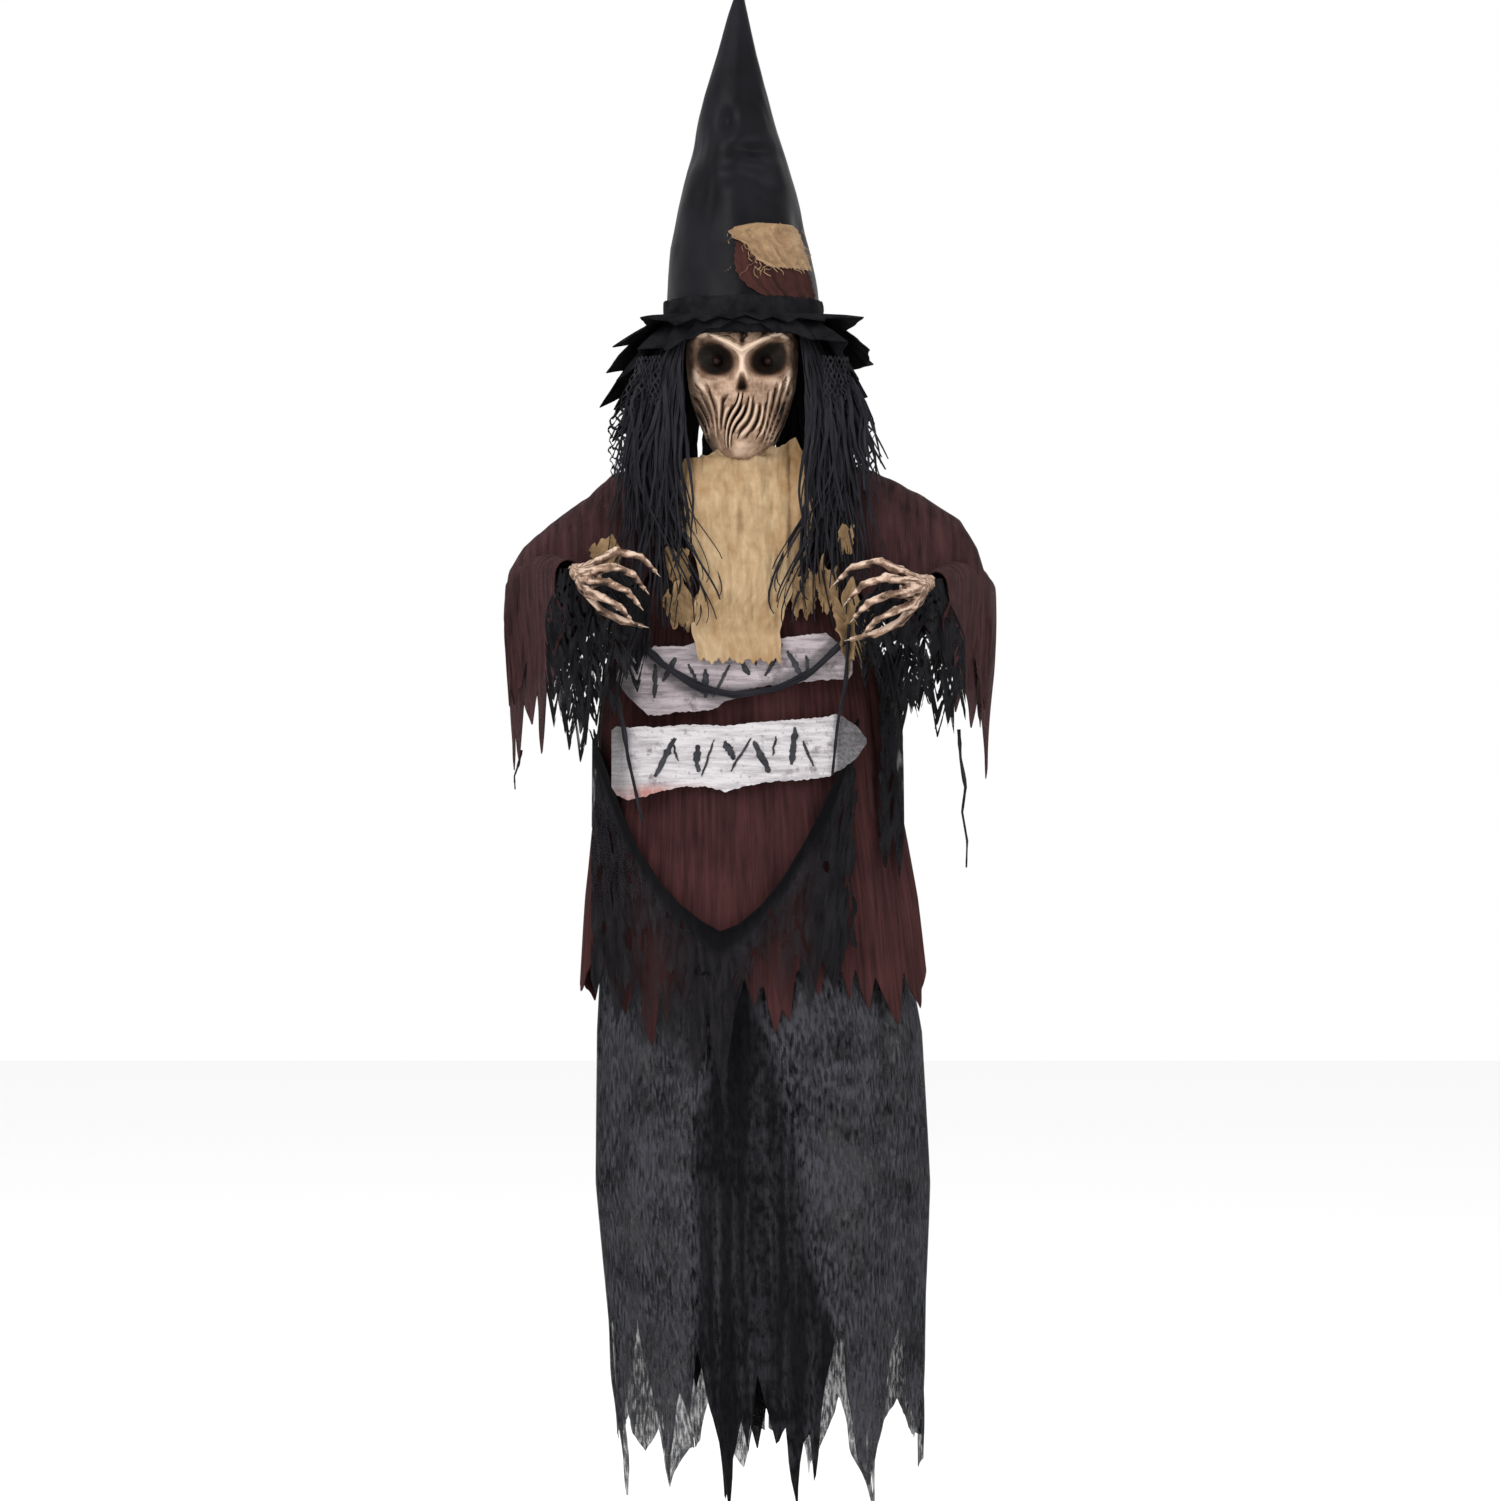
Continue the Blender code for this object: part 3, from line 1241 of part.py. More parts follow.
def build_cuff_gauze(side, pivot):
    """The black gauze that hangs from the forearm, just behind the wrist."""
    sign = SIDE_SIGN[side]
    _, elbow, wrist, _, _, _ = arm_frame(side)
    middle = elbow.lerp(wrist, 0.90)
    top = middle.z - FOREARM_RADIUS * 1.35
    near = middle.x + sign * CUFF_WIDTH * 0.40
    far = near - sign * CUFF_WIDTH
    bottom = top - CUFF_DROP[side]
    outline = (
        (near, top),
        (far, top),
        (far, bottom + 0.030),
        (far + sign * 0.016, bottom),
        (far + sign * 0.034, bottom + 0.026),
        (near - sign * 0.014, bottom + 0.008),
        (near, bottom + 0.045),
    )
    y = middle.y - CUFF_THICKNESS / 2
    shape = prism(outline, y, CUFF_THICKNESS, "XZ")
    make_object(f"{side}_cuff_gauze", shape, ((0.02, 0.02, 0.02), 0.9), pivot)


def build_shoulder_tube():
    inner = SHOULDER_TUBE_OUTER - SHOULDER_TUBE_WALL
    start = (-SHOULDER_TUBE_HALF, 0, SHOULDER_Z)
    end = (SHOULDER_TUBE_HALF, 0, SHOULDER_Z)
    tube = pipe(SHOULDER_TUBE_OUTER, inner, start, end, 18)
    make_object("shoulder_tube", tube, ((0.55, 0.55, 0.57), 0.4, 1.0))


# ---- Hoop, cloth and boards ----

def build_waist_hoop():
    centre = (*HOOP_CENTRE, HOOP_Z)
    hoop = ring_bar(centre, HOOP_HALF_WIDTH, HOOP_HALF_DEPTH, HOOP_WIRE)
    make_object("waist_hoop", hoop, ((0.10, 0.10, 0.10), 0.5, 0.6))


def build_hoop_stays():
    for side, sign in SIDE_SIGN.items():
        top = Vector((sign * STAY_X, 0, CHEST_BOTTOM + 0.020))
        bend = Vector((sign * STAY_X, 0, CHEST_BOTTOM - 0.010))
        ring = Vector((HOOP_CENTRE[0] + sign * HOOP_HALF_WIDTH, HOOP_CENTRE[1], HOOP_Z))
        along = (ring - bend).normalized()
        end = ring - along * (HOOP_WIRE + 2 * GAP)
        stay = tube_path((top, bend, end), (STAY_RADIUS,) * 3, 8)
        make_object(f"hoop_stay_{side}", stay, ((0.10, 0.10, 0.10), 0.5, 0.6))


def cloth_tube(rings, wall, torn, seed):
    """A hanging tube of cloth with a torn lower edge."""
    outer, inner = [], []
    for i, ring in enumerate(rings):
        last = torn if i == len(rings) - 1 else 0.0
        outer.append(oval_ring(*ring, torn=last, seed=seed))
        inner.append(oval_ring(*ring, inset=wall, torn=last, seed=seed))
    return walled_tube(outer, inner)


def build_robe():
    robe = make_object(
        "robe_body", cloth_tube(ROBE_RINGS, ROBE_WALL, ROBE_TEAR, 0.4), ((0.05, 0.022, 0.022), 0.85)
    )
    hole = SHOULDER_TUBE_OUTER + 0.003
    reach = SHOULDER_TUBE_HALF + 0.02
    for side, sign in SIDE_SIGN.items():
        arm_hole = cylinder(
            hole, (sign * CHEST_HALF_WIDTH, 0, SHOULDER_Z), (sign * reach, 0, SHOULDER_Z)
        )
        cut(robe, arm_hole, f"arm_hole_{side}")
    slit = box(
        (-BACK_SLIT_HALF_WIDTH, CHEST_BACK + 0.008, CHEST_BOTTOM - 0.010),
        (BACK_SLIT_HALF_WIDTH, CHEST_BACK + BACK_SLIT_REACH, TRAY_CENTRE_Z + DOOR_HALF_HEIGHT + HEM_STEP),
    )
    cut(robe, slit, "back_slit")


def build_skirt():
    length = FIGURE_HEIGHT - SKIRT_TEAR + SKIRT_TOP
    rings = [(SKIRT_TOP - share * length, *rest) for share, *rest in SKIRT_RINGS]
    skirt = cloth_tube(rings, SKIRT_WALL, SKIRT_TEAR, 1.7)
    make_object("skirt_gauze", skirt, ((0.05, 0.05, 0.055), 0.9))


def build_inner_panel():
    top = HOOP_Z - HOOP_WIRE - GAP
    bottom = -FIGURE_HEIGHT + PANEL_ABOVE_HEM
    left = PANEL_CENTRE_X - PANEL_HALF_WIDTH
    right = PANEL_CENTRE_X + PANEL_HALF_WIDTH
    outline = (
        (left, top),
        (right, top),
        (right, bottom + 0.045),
        (right - 0.030, bottom + 0.010),
        (PANEL_CENTRE_X + 0.010, bottom + 0.050),
        (PANEL_CENTRE_X - 0.015, bottom),
        (left, bottom + 0.060),
    )
    shape = prism(outline, PANEL_Y - PANEL_THICKNESS / 2, PANEL_THICKNESS, "XZ")
    make_object("inner_panel", shape, ((0.008, 0.008, 0.008), 0.9))


def robe_front(z):
    """The robe's front surface at a height, between its rings."""
    for above, below in zip(ROBE_RINGS, ROBE_RINGS[1:]):
        if above[0] >= z >= below[0]:
            share = (above[0] - z) / (above[0] - below[0])
            return -(above[3] + (below[3] - above[3]) * share)
    return -ROBE_RINGS[0][3]


def build_bib():
    heights = (BIB_TOP, -0.630, -0.700, -0.765, BIB_BOTTOM)
    left = BIB_CENTRE_X - BIB_HALF_WIDTH
    right = BIB_CENTRE_X + BIB_HALF_WIDTH
    rings = []
    for z in heights:
        back = robe_front(z) - 2 * GAP
        front = back - BIB_THICKNESS
        rings.append([Vector((left, front, z)), Vector((right, front, z)),
                      Vector((right, back, z)), Vector((left, back, z))])
    make_object("bib", loft(rings), ((0.45, 0.31, 0.18), 0.9))


def build_sign(name, sign):
    """An arrow board: a plank with a pointed head, its tail broken off unevenly."""
    top, bottom, tip, tail = sign["top"], sign["bottom"], sign["tip"], sign["tail"]
    height = top - bottom
    way = math.copysign(1.0, tip - tail)
    neck = tip - way * SIGN_HEAD_LENGTH
    outline = (
        (tail, top - height * 0.12),
        (neck, top - height * 0.16),
        (neck - way * 0.004, top),
        (tip, (top + bottom) / 2),
        (neck - way * 0.004, bottom),
        (neck, bottom + height * 0.16),
        (tail, bottom + height * 0.10),
        (tail + way * 0.010, (top + bottom) / 2),
    )
    shape = prism(outline, SIGN_FRONT, SIGN_THICKNESS, "XZ")
    make_object(name, shape, ((0.42, 0.40, 0.40), 0.8))


def build_gauze_swag():
    front = SIGN_FRONT - GAP - SWAG_THICKNESS
    outline = (
        (-0.158, -0.945),
        (-0.026, -1.080),
        (0.130, -0.940),
        (0.150, -1.000),
        (-0.020, -1.150),
        (-0.165, -1.020),
    )
    swag = prism(outline, front, SWAG_THICKNESS, "XZ")
    make_object("gauze_swag", swag, ((0.025, 0.02, 0.02), 0.9))


def build_hair(head):
    """The gauze wig: a curtain round the sides and back of the head, open at the face."""
    steps = 20
    levels = ((HAIR_TOP, 0.078, 0.102), (-0.500, 0.120, 0.118), (HAIR_BOTTOM, 0.145, 0.130))
    rings = []
    for step in range(steps + 1):
        opening = math.radians(HAIR_FRONT_OPENING)
        angle = -math.pi / 2 + opening + (2 * math.pi - 2 * opening) * step / steps
        out = Vector((math.cos(angle), math.sin(angle), 0))
        outer, inner = [], []
        for z, half_width, half_depth in levels:
            outer.append(Vector((out.x * (half_width + HAIR_WALL), out.y * (half_depth + HAIR_WALL), z)))
            inner.append(Vector((out.x * half_width, out.y * half_depth, z)))
        rings.append(outer + inner[::-1])
    make_object("hair_curtain", loft(rings), ((0.02, 0.018, 0.02), 0.85), head)


def build_hair_falls():
    for side, sign in SIDE_SIGN.items():
        inner, outer = sign * HAIR_FALL_INNER, sign * HAIR_FALL_OUTER
        outline = (
            (inner, HAIR_FALL_TOP),
            (outer, HAIR_FALL_TOP - 0.014),
            (outer - sign * HEM_STEP, HAIR_FALL_BOTTOM + 0.040),
            (outer - sign * 0.034, HAIR_FALL_BOTTOM),
            (inner, HAIR_FALL_BOTTOM + 0.030),
        )
        shape = prism(outline, HAIR_FALL_Y - HAIR_FALL_THICKNESS, HAIR_FALL_THICKNESS, "XZ")
        make_object(f"hair_fall_{side}", shape, ((0.02, 0.018, 0.02), 0.85))


# ---- Assembly ----

def build_frame_pieces():
    build_hanging_rod()
    build_rod_nut()
    build_neck_bush()
    build_chest_front()
    build_chest_back()
    build_shell_screws()
    build_chest_plate()
    build_gearmotor()
    build_speaker()
    build_circuit_board()
    build_sound_sensor()
    build_battery_tray()
    build_battery_cells()
    build_contact_strip()
    build_shoulder_tube()
    build_waist_hoop()
    build_hoop_stays()
    build_robe()
    build_skirt()
    build_inner_panel()
    build_bib()
    build_sign("sign_upper", SIGN_UPPER)
    build_sign("sign_lower", SIGN_LOWER)
    build_gauze_swag()
    build_hair_falls()


def build_head_pieces(head):
    build_neck_gear(head)
    build_head(head)
    build_hat_crown(head)
    build_tip_grommet(head)
    build_hat_band(head)
    build_hat_patch("patch_tan", TAN_PATCH_TOP, ((0.28, 0.19, 0.11), 0.9), head)
    build_hat_patch("patch_maroon", MAROON_PATCH_TOP, ((0.07, 0.03, 0.03), 0.9), head)
    build_hat_brim(head)
    build_hair(head)


def build_arm(side):
    _, elbow, _, _, _, _ = arm_frame(side)
    shoulder_pivot = make_empty(f"{side}_shoulder_pivot", (0, 0, SHOULDER_Z))
    elbow_pivot = make_empty(f"{side}_elbow_pivot", elbow)
    build_upper_arm(side, shoulder_pivot)
    build_elbow_pin(side, shoulder_pivot)
    build_sleeve(side, shoulder_pivot)
    build_forearm(side, elbow_pivot)
    build_hand(side, elbow_pivot)
    build_cuff_gauze(side, elbow_pivot)
    elbow_pivot.parent = shoulder_pivot
    elbow_pivot.location = elbow - Vector(shoulder_pivot.location)


def main():
    clear_scene()
    build_frame_pieces()
    build_head_pieces(make_empty("head_pivot", (0, 0, 0)))
    build_drive_pinion(make_empty("pinion_pivot", (0, PINION_Y, 0)))
    for side in SIDE_SIGN:
        build_arm(side)
    build_battery_door(make_empty("door_pivot", (0, HINGE_Y, HINGE_Z)))
    button = make_empty("button_pivot", (CONTROL_X, CHEST_BACK, CONTROL_Z))
    switch = make_empty("switch_pivot", (-CONTROL_X, CHEST_BACK, CONTROL_Z))
    build_controls(button, switch)


main()
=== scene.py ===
"""Looks of the animated hanging witch figure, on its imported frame."""

import bmesh
import bpy
import json
import math
import random
from mathutils import Matrix, Vector, noise


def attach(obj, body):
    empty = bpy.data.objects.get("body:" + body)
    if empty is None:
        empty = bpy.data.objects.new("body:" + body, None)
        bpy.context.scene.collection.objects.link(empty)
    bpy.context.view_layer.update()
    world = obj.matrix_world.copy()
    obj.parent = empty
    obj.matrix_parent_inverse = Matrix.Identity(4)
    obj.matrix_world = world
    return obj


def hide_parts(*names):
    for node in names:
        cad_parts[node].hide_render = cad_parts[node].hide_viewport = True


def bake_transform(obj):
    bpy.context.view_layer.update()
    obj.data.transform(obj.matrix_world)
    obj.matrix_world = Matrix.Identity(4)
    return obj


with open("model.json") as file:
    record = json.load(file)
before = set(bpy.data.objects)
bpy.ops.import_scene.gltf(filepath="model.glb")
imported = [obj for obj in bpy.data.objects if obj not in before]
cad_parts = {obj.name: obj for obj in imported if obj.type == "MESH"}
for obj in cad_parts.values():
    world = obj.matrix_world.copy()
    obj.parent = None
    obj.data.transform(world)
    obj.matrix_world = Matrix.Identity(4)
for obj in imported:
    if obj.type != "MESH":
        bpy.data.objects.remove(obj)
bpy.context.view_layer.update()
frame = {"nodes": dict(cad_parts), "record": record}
scene = bpy.context.scene

# ---- Camera ----

camera_data = bpy.data.cameras.new("camera")
camera_data.lens = 100.0
camera_data.sensor_width = 36.0
camera = bpy.data.objects.new("camera", camera_data)
camera.location = (0.0096, -5.1, -0.9306)
camera.rotation_euler = (math.radians(90.0), 0.0, 0.0)
scene.collection.objects.link(camera)
scene.camera = camera
scene.view_settings.view_transform = "Standard"


# ---- Small sums ----

def lerp(a, b, share):
    return a + (b - a) * share


def clamp(value, low=0.0, high=1.0):
    return min(max(value, low), high)


def smooth_step(low, high, value):
    share = clamp((value - low) / (high - low))
    return share * share * (3.0 - 2.0 * share)


def along(rows, place):
    """The numbers of a table's row at this place, straight between its rows."""
    for low, high in zip(rows, rows[1:]):
        if place <= high[0]:
            share = clamp((place - low[0]) / (high[0] - low[0]))
            return [lerp(a, b, share) for a, b in zip(low[1:], high[1:])]
    return list(rows[-1][1:])


def down(rows, z):
    """The same for a table that runs from its highest row down."""
    for high, low in zip(rows, rows[1:]):
        if z >= low[0]:
            share = clamp((high[0] - z) / (high[0] - low[0]))
            return [lerp(a, b, share) for a, b in zip(high[1:], low[1:])]
    return list(rows[-1][1:])


def rough(x, y, z, seed=0.0):
    """Soft noise from -1 to 1."""
    return noise.noise(Vector((x + seed * 7.31, y - seed * 3.17, z + seed * 1.93)))


def torn(x, pitch, seed):
    """A jagged wave from 0 to 1 for torn edges: sharp points at uneven places."""
    first = abs((x / pitch + seed + 0.35 * rough(x / pitch, 0.0, 0.0, seed)) % 1.0 - 0.5) * 2.0
    second = abs((x / pitch * 2.7 + seed * 1.7) % 1.0 - 0.5) * 2.0
    return clamp(0.72 * first + 0.28 * second)


def hump(away, half):
    """A soft hump, 1 where away is 0."""
    return math.exp(-(away / half) ** 2)


def window(value, low, full, full_end, high):
    """1 from full to full_end, eased down to 0 at low and at high."""
    return smooth_step(low, full, value) * smooth_step(high, full_end, value)


def millimetres(width, *numbers):
    """A table in metres from its numbers in millimetres, width to a row."""
    return tuple(tuple(number / 1000 for number in numbers[start:start + width])
                 for start in range(0, len(numbers), width))


# ---- Meshes ----

LEAST_LEFT = 0.3  # the least share of its flat size that a torn sheet keeps


def cloth_grid(columns, rows, place, flat, keep=None, cut=None, close=False):
    """A flat sheet of cloth moved to place(u, v), with its UVs in metres of flat cloth.

    u runs to the viewer's right and v down. keep(u, v) false is cut away, and cut(u) is
    the share of the flat length that is left in that column.
    """
    bm = bmesh.new()
    uv_layer = bm.loops.layers.uv.new("UVMap")
    bmesh.ops.create_grid(bm, x_segments=columns, y_segments=rows, size=0.5, calc_uvs=True)
    if keep:
        gone = []
        for face in bm.faces:
            middle = face.calc_center_median()
            if not keep(middle.x + 0.5, 0.5 - middle.y):
                gone.append(face)
        bmesh.ops.delete(bm, geom=gone, context="FACES")
    for face in bm.faces:
        for loop in face.loops:
            u, v = loop.vert.co.x + 0.5, 0.5 - loop.vert.co.y
            length = flat[1] * (cut(u) if cut else 1.0)
            loop[uv_layer].uv = (u * flat[0], -v * length)
    for vert in bm.verts:
        vert.co = place(vert.co.x + 0.5, 0.5 - vert.co.y)
    if close:
        bmesh.ops.remove_doubles(bm, verts=bm.verts, dist=0.00002)
    return bm


def add_ribbon(bm, points, widths, across, shade, rows=1):
    """A strip of cloth along points, added to bm. across gives its width's direction."""
    uv_layer = bm.loops.layers.uv.verify()
    steps = len(points) - 1
    made = bmesh.ops.create_grid(bm, x_segments=rows, y_segments=steps, size=0.5, calc_uvs=True)
    faces = {face for vert in made["verts"] for face in vert.link_faces}
    for face in faces:
        for loop in face.loops:
            u, v = loop.vert.co.x + 0.5, 0.5 - loop.vert.co.y
            length = (points[-1] - points[0]).length
            loop[uv_layer].uv = (u * max(widths) + shade, -v * length)
    for vert in made["verts"]:
        u, v = vert.co.x, 0.5 - vert.co.y
        row = min(int(round(v * steps)), steps)
        vert.co = points[row] + across[row] * (u * widths[row])
    return made["verts"]


def make_piece(name, bm, material, wall=0.0, smooth=True):
    mesh = bpy.data.meshes.new(name)
    bm.to_mesh(mesh)
    bm.free()
    if smooth:
        mesh.shade_smooth()
    mesh.materials.append(material)
    obj = bpy.data.objects.new(name, mesh)
    scene.collection.objects.link(obj)
    if wall:
        shell = obj.modifiers.new("wall", "SOLIDIFY")
        shell.thickness = wall
        shell.offset = 0.0
    return obj


def fit(piece, body, slot_name, *nodes):
    """Fixes a piece to its body and hides the nodes that it stands for; its slot name is not used.
    """
    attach(piece, body)
    if nodes:
        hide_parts(*nodes)


def declare_cloth(piece, flat):
    """Measures a sheet's area before its thickness is added, held between the least share kept and
    its flat size; nothing is done with the result.
    """
    whole = flat[0] * flat[1]
    area = clamp(sum(face.area for face in piece.data.polygons), LEAST_LEFT * whole, whole)


# ---- Materials ----

CLOTH_SHINE = 0.05
WAVE_TURN = 20.0  # radians of a wave texture's bands per unit at scale 1


def new_material(name, colour, roughness, shine):
    material = bpy.data.materials.new(name)
    material.use_nodes = True
    shader = material.node_tree.nodes["Principled BSDF"]
    shader.inputs["Base Color"].default_value = (*colour, 1.0)
    shader.inputs["Roughness"].default_value = roughness
    shader.inputs["Specular IOR Level"].default_value = shine
    return material, shader


def join(material, output, shader, socket):
    material.node_tree.links.new(output, shader.inputs[socket])


def painted(material, name):
    """A number painted on the mesh's vertices under this name."""
    return add_node(material, "ShaderNodeAttribute", attribute_name=name).outputs["Fac"]


def add_node(material, kind, links=(), values=(), **settings):
    """A node with its links {input: output} and its plain values {input: number}."""
    made = material.node_tree.nodes.new(kind)
    for key, value in settings.items():
        setattr(made, key, value)
    for key, value in dict(values).items():
        made.inputs[key].default_value = value
    for key, output in dict(links).items():
        material.node_tree.links.new(output, made.inputs[key])
    return made


def coordinates(material, kind, scale):
    """Texture coordinates of this kind, scaled."""
    source = add_node(material, "ShaderNodeTexCoord")
    mapping = add_node(material, "ShaderNodeMapping", {"Vector": source.outputs[kind]},
                       {"Scale": scale})
    return mapping.outputs["Vector"]


def patchy(material, vector, size, detail=4.0, roughness=0.55):
    made = add_node(material, "ShaderNodeTexNoise", {"Vector": vector},
                    {"Scale": size, "Detail": detail, "Roughness": roughness})
    return made.outputs["Fac"]


def spread(material, value, low, high, to_low=0.0, to_high=1.0):
    made = add_node(material, "ShaderNodeMapRange", {"Value": value},
                    {"From Min": low, "From Max": high, "To Min": to_low, "To Max": to_high})
    return made.outputs["Result"]


def mix_colours(material, share, first, second):
    """Two colours, or outputs, mixed by share."""
    made = add_node(material, "ShaderNodeMix", {"Factor": share}, data_type="RGBA")
    for socket, value in ((6, first), (7, second)):
        if isinstance(value, bpy.types.NodeSocket):
            material.node_tree.links.new(value, made.inputs[socket])
        else:
            made.inputs[socket].default_value = (*value, 1.0)
    return made.outputs[2]


def sums(material, operation, first, second):
    made = add_node(material, "ShaderNodeMath", operation=operation)
    for socket, value in enumerate((first, second)):
        if isinstance(value, bpy.types.NodeSocket):
            material.node_tree.links.new(value, made.inputs[socket])
        else:
            made.inputs[socket].default_value = value
    return made.outputs[0]


def bumpy(material, shader, height, strength, distance):
    made = add_node(material, "ShaderNodeBump", {"Height": height},
                    {"Strength": strength, "Distance": distance})
    join(material, made.outputs["Normal"], shader, "Normal")


def woven(name, dark, light, threads, roughness=0.9, see_through=None, streaks=(90.0, 9.0),
          sheen=0.0, stain=None, contrast=0.14):
    """Cloth from its UVs in metres. threads is the thread count per metre each way.

    see_through is the least and the most that the cloth covers, streaks the pulled
    threads per metre across and along, and a small contrast gives strong streaks.
    """
    material, shader = new_material(name, light, roughness, CLOTH_SHINE)
    if sheen:
        shader.inputs["Sheen Weight"].default_value = sheen
        shader.inputs["Sheen Roughness"].default_value = 0.5
    plain = coordinates(material, "UV", (1.0, 1.0, 1.0))
    wobble = add_node(material, "ShaderNodeTexNoise", {"Vector": plain},
                      {"Scale": 160.0, "Detail": 2.0})
    shift = add_node(material, "ShaderNodeVectorMath", {0: wobble.outputs["Color"]},
                     {1: (0.0012, 0.0012, 0.0)}, operation="MULTIPLY")
    bent = add_node(material, "ShaderNodeVectorMath", {0: plain, 1: shift.outputs[0]},
                    operation="ADD")
    warp = add_node(material, "ShaderNodeTexWave", {"Vector": bent.outputs[0]},
                    {"Scale": threads * math.tau / WAVE_TURN}, bands_direction="X")
    weft = add_node(material, "ShaderNodeTexWave", {"Vector": bent.outputs[0]},
                    {"Scale": threads * math.tau / WAVE_TURN}, bands_direction="Y")
    thread = sums(material, "MAXIMUM", warp.outputs["Fac"], weft.outputs["Fac"])
    pulled = coordinates(material, "UV", (streaks[0], streaks[1], 1.0))
    streak = patchy(material, pulled, 1.0, 5.0, 0.6)
    blotch = patchy(material, plain, 14.0, 3.0)
    tone = spread(material, sums(material, "ADD", sums(material, "MULTIPLY", streak, 0.7),
                                 sums(material, "MULTIPLY", blotch, 0.3)),
                  0.5 - contrast, 0.5 + contrast)
    colour = mix_colours(material, tone, dark, light)
    colour = mix_colours(material, spread(material, thread, 0.1, 0.8, 0.45, 0.0), colour, dark)
    if stain:
        spots = patchy(material, plain, 9.0, 5.0, 0.7)
        colour = mix_colours(material, spread(material, spots, 0.5, 0.72), colour, stain)
    if see_through:
        closer = painted(material, "cover")
        colour = mix_colours(material, spread(material, closer, 0.0, 1.0, 0.0, 0.92), colour,
                             tuple(part * 0.5 for part in dark))
    join(material, colour, shader, "Base Color")
    if see_through:
        cover = spread(material, tone, 0.0, 1.0, see_through[0], see_through[1])
        gap = spread(material, thread, 0.25, 0.75, 0.72, 1.1)
        cover = sums(material, "MULTIPLY", cover, gap)
        join(material, sums(material, "ADD", cover, closer), shader, "Alpha")
    height = sums(material, "ADD", sums(material, "MULTIPLY", thread, 0.6), streak)
    bumpy(material, shader, height, 0.5, 0.0008)
    return material


def satin(name, dark, light):
    material, shader = new_material(name, light, 0.42, 0.07)
    place = coordinates(material, "Object", (1.0, 1.0, 1.0))
    cloud = patchy(material, place, 9.0, 3.0)
    fine = add_node(material, "ShaderNodeTexWave",
                    {"Vector": coordinates(material, "UV", (1, 1, 1))},
                    {"Scale": 260.0, "Distortion": 0.6}, bands_direction="DIAGONAL")
    colour = mix_colours(material, spread(material, cloud, 0.35, 0.65), dark, light)
    join(material, colour, shader, "Base Color")
    join(material, spread(material, cloud, 0.3, 0.7, 0.34, 0.50), shader, "Roughness")
    height = sums(material, "ADD", sums(material, "MULTIPLY", fine.outputs["Fac"], 0.08),
                  patchy(material, place, 28.0, 5.0, 0.6))
    bumpy(material, shader, height, 0.22, 0.003)
    return material


def felt(name, dark, light):
    material, shader = new_material(name, light, 0.95, CLOTH_SHINE)
    place = coordinates(material, "Object", (1.0, 1.0, 1.0))
    fuzz = patchy(material, place, 900.0, 4.0, 0.8)
    cloud = patchy(material, place, 40.0, 3.0)
    colour = mix_colours(material, spread(material, sums(material, "MULTIPLY", fuzz, cloud),
                                          0.15, 0.4), dark, light)
    join(material, colour, shader, "Base Color")
    bumpy(material, shader, fuzz, 0.6, 0.001)
    return material


def bone(name, bare_and_highlight, pale, tan, brown):
    """Dry stained latex: bare and pale on the ridges, with a painted highlight there too; a dark
    brown wash in the creases, with painted shade there too, and near-black painted shade in the
    deepest hollows.
    """
    material, shader = new_material(name, tan, 0.55, 0.16)
    place = coordinates(material, "Object", (1.0, 1.0, 1.0))
    depth = painted(material, "crease")
    mottle = patchy(material, place, 70.0, 5.0, 0.65)
    fine = patchy(material, coordinates(material, "Object", (1.0, 1.0, 0.35)), 420.0, 4.0, 0.7)
    base = mix_colours(material, spread(material, mottle, 0.38, 0.62), tan, pale)
    base = mix_colours(material, spread(material, fine, 0.5, 0.75, 0.0, 0.55), base, brown)
    # Ridges, where the crease is below zero, are lightened: paler latex with a painted highlight.
    base = mix_colours(material, spread(material, depth, -0.08, -0.34), base, bare_and_highlight)
    # Creases darken by their depth and a little mottle: a brown wash with painted shade.
    wear_wash_and_shade = sums(material, "ADD", depth, spread(material, mottle, 0.3, 0.7, -0.12, 0.12))
    colour = mix_colours(material, spread(material, wear_wash_and_shade, 0.1, 0.75), base, brown)
    # The deepest hollows, such as the eye sockets and slits, go near black: painted shade.
    colour = mix_colours(material, spread(material, wear_wash_and_shade, 0.6, 1.0), colour, (0.006, 0.004, 0.003))
    join(material, colour, shader, "Base Color")
    join(material, spread(material, mottle, 0.3, 0.7, 0.42, 0.7), shader, "Roughness")
    bumpy(material, shader, sums(material, "ADD", fine, mottle), 0.5, 0.0012)
    return material


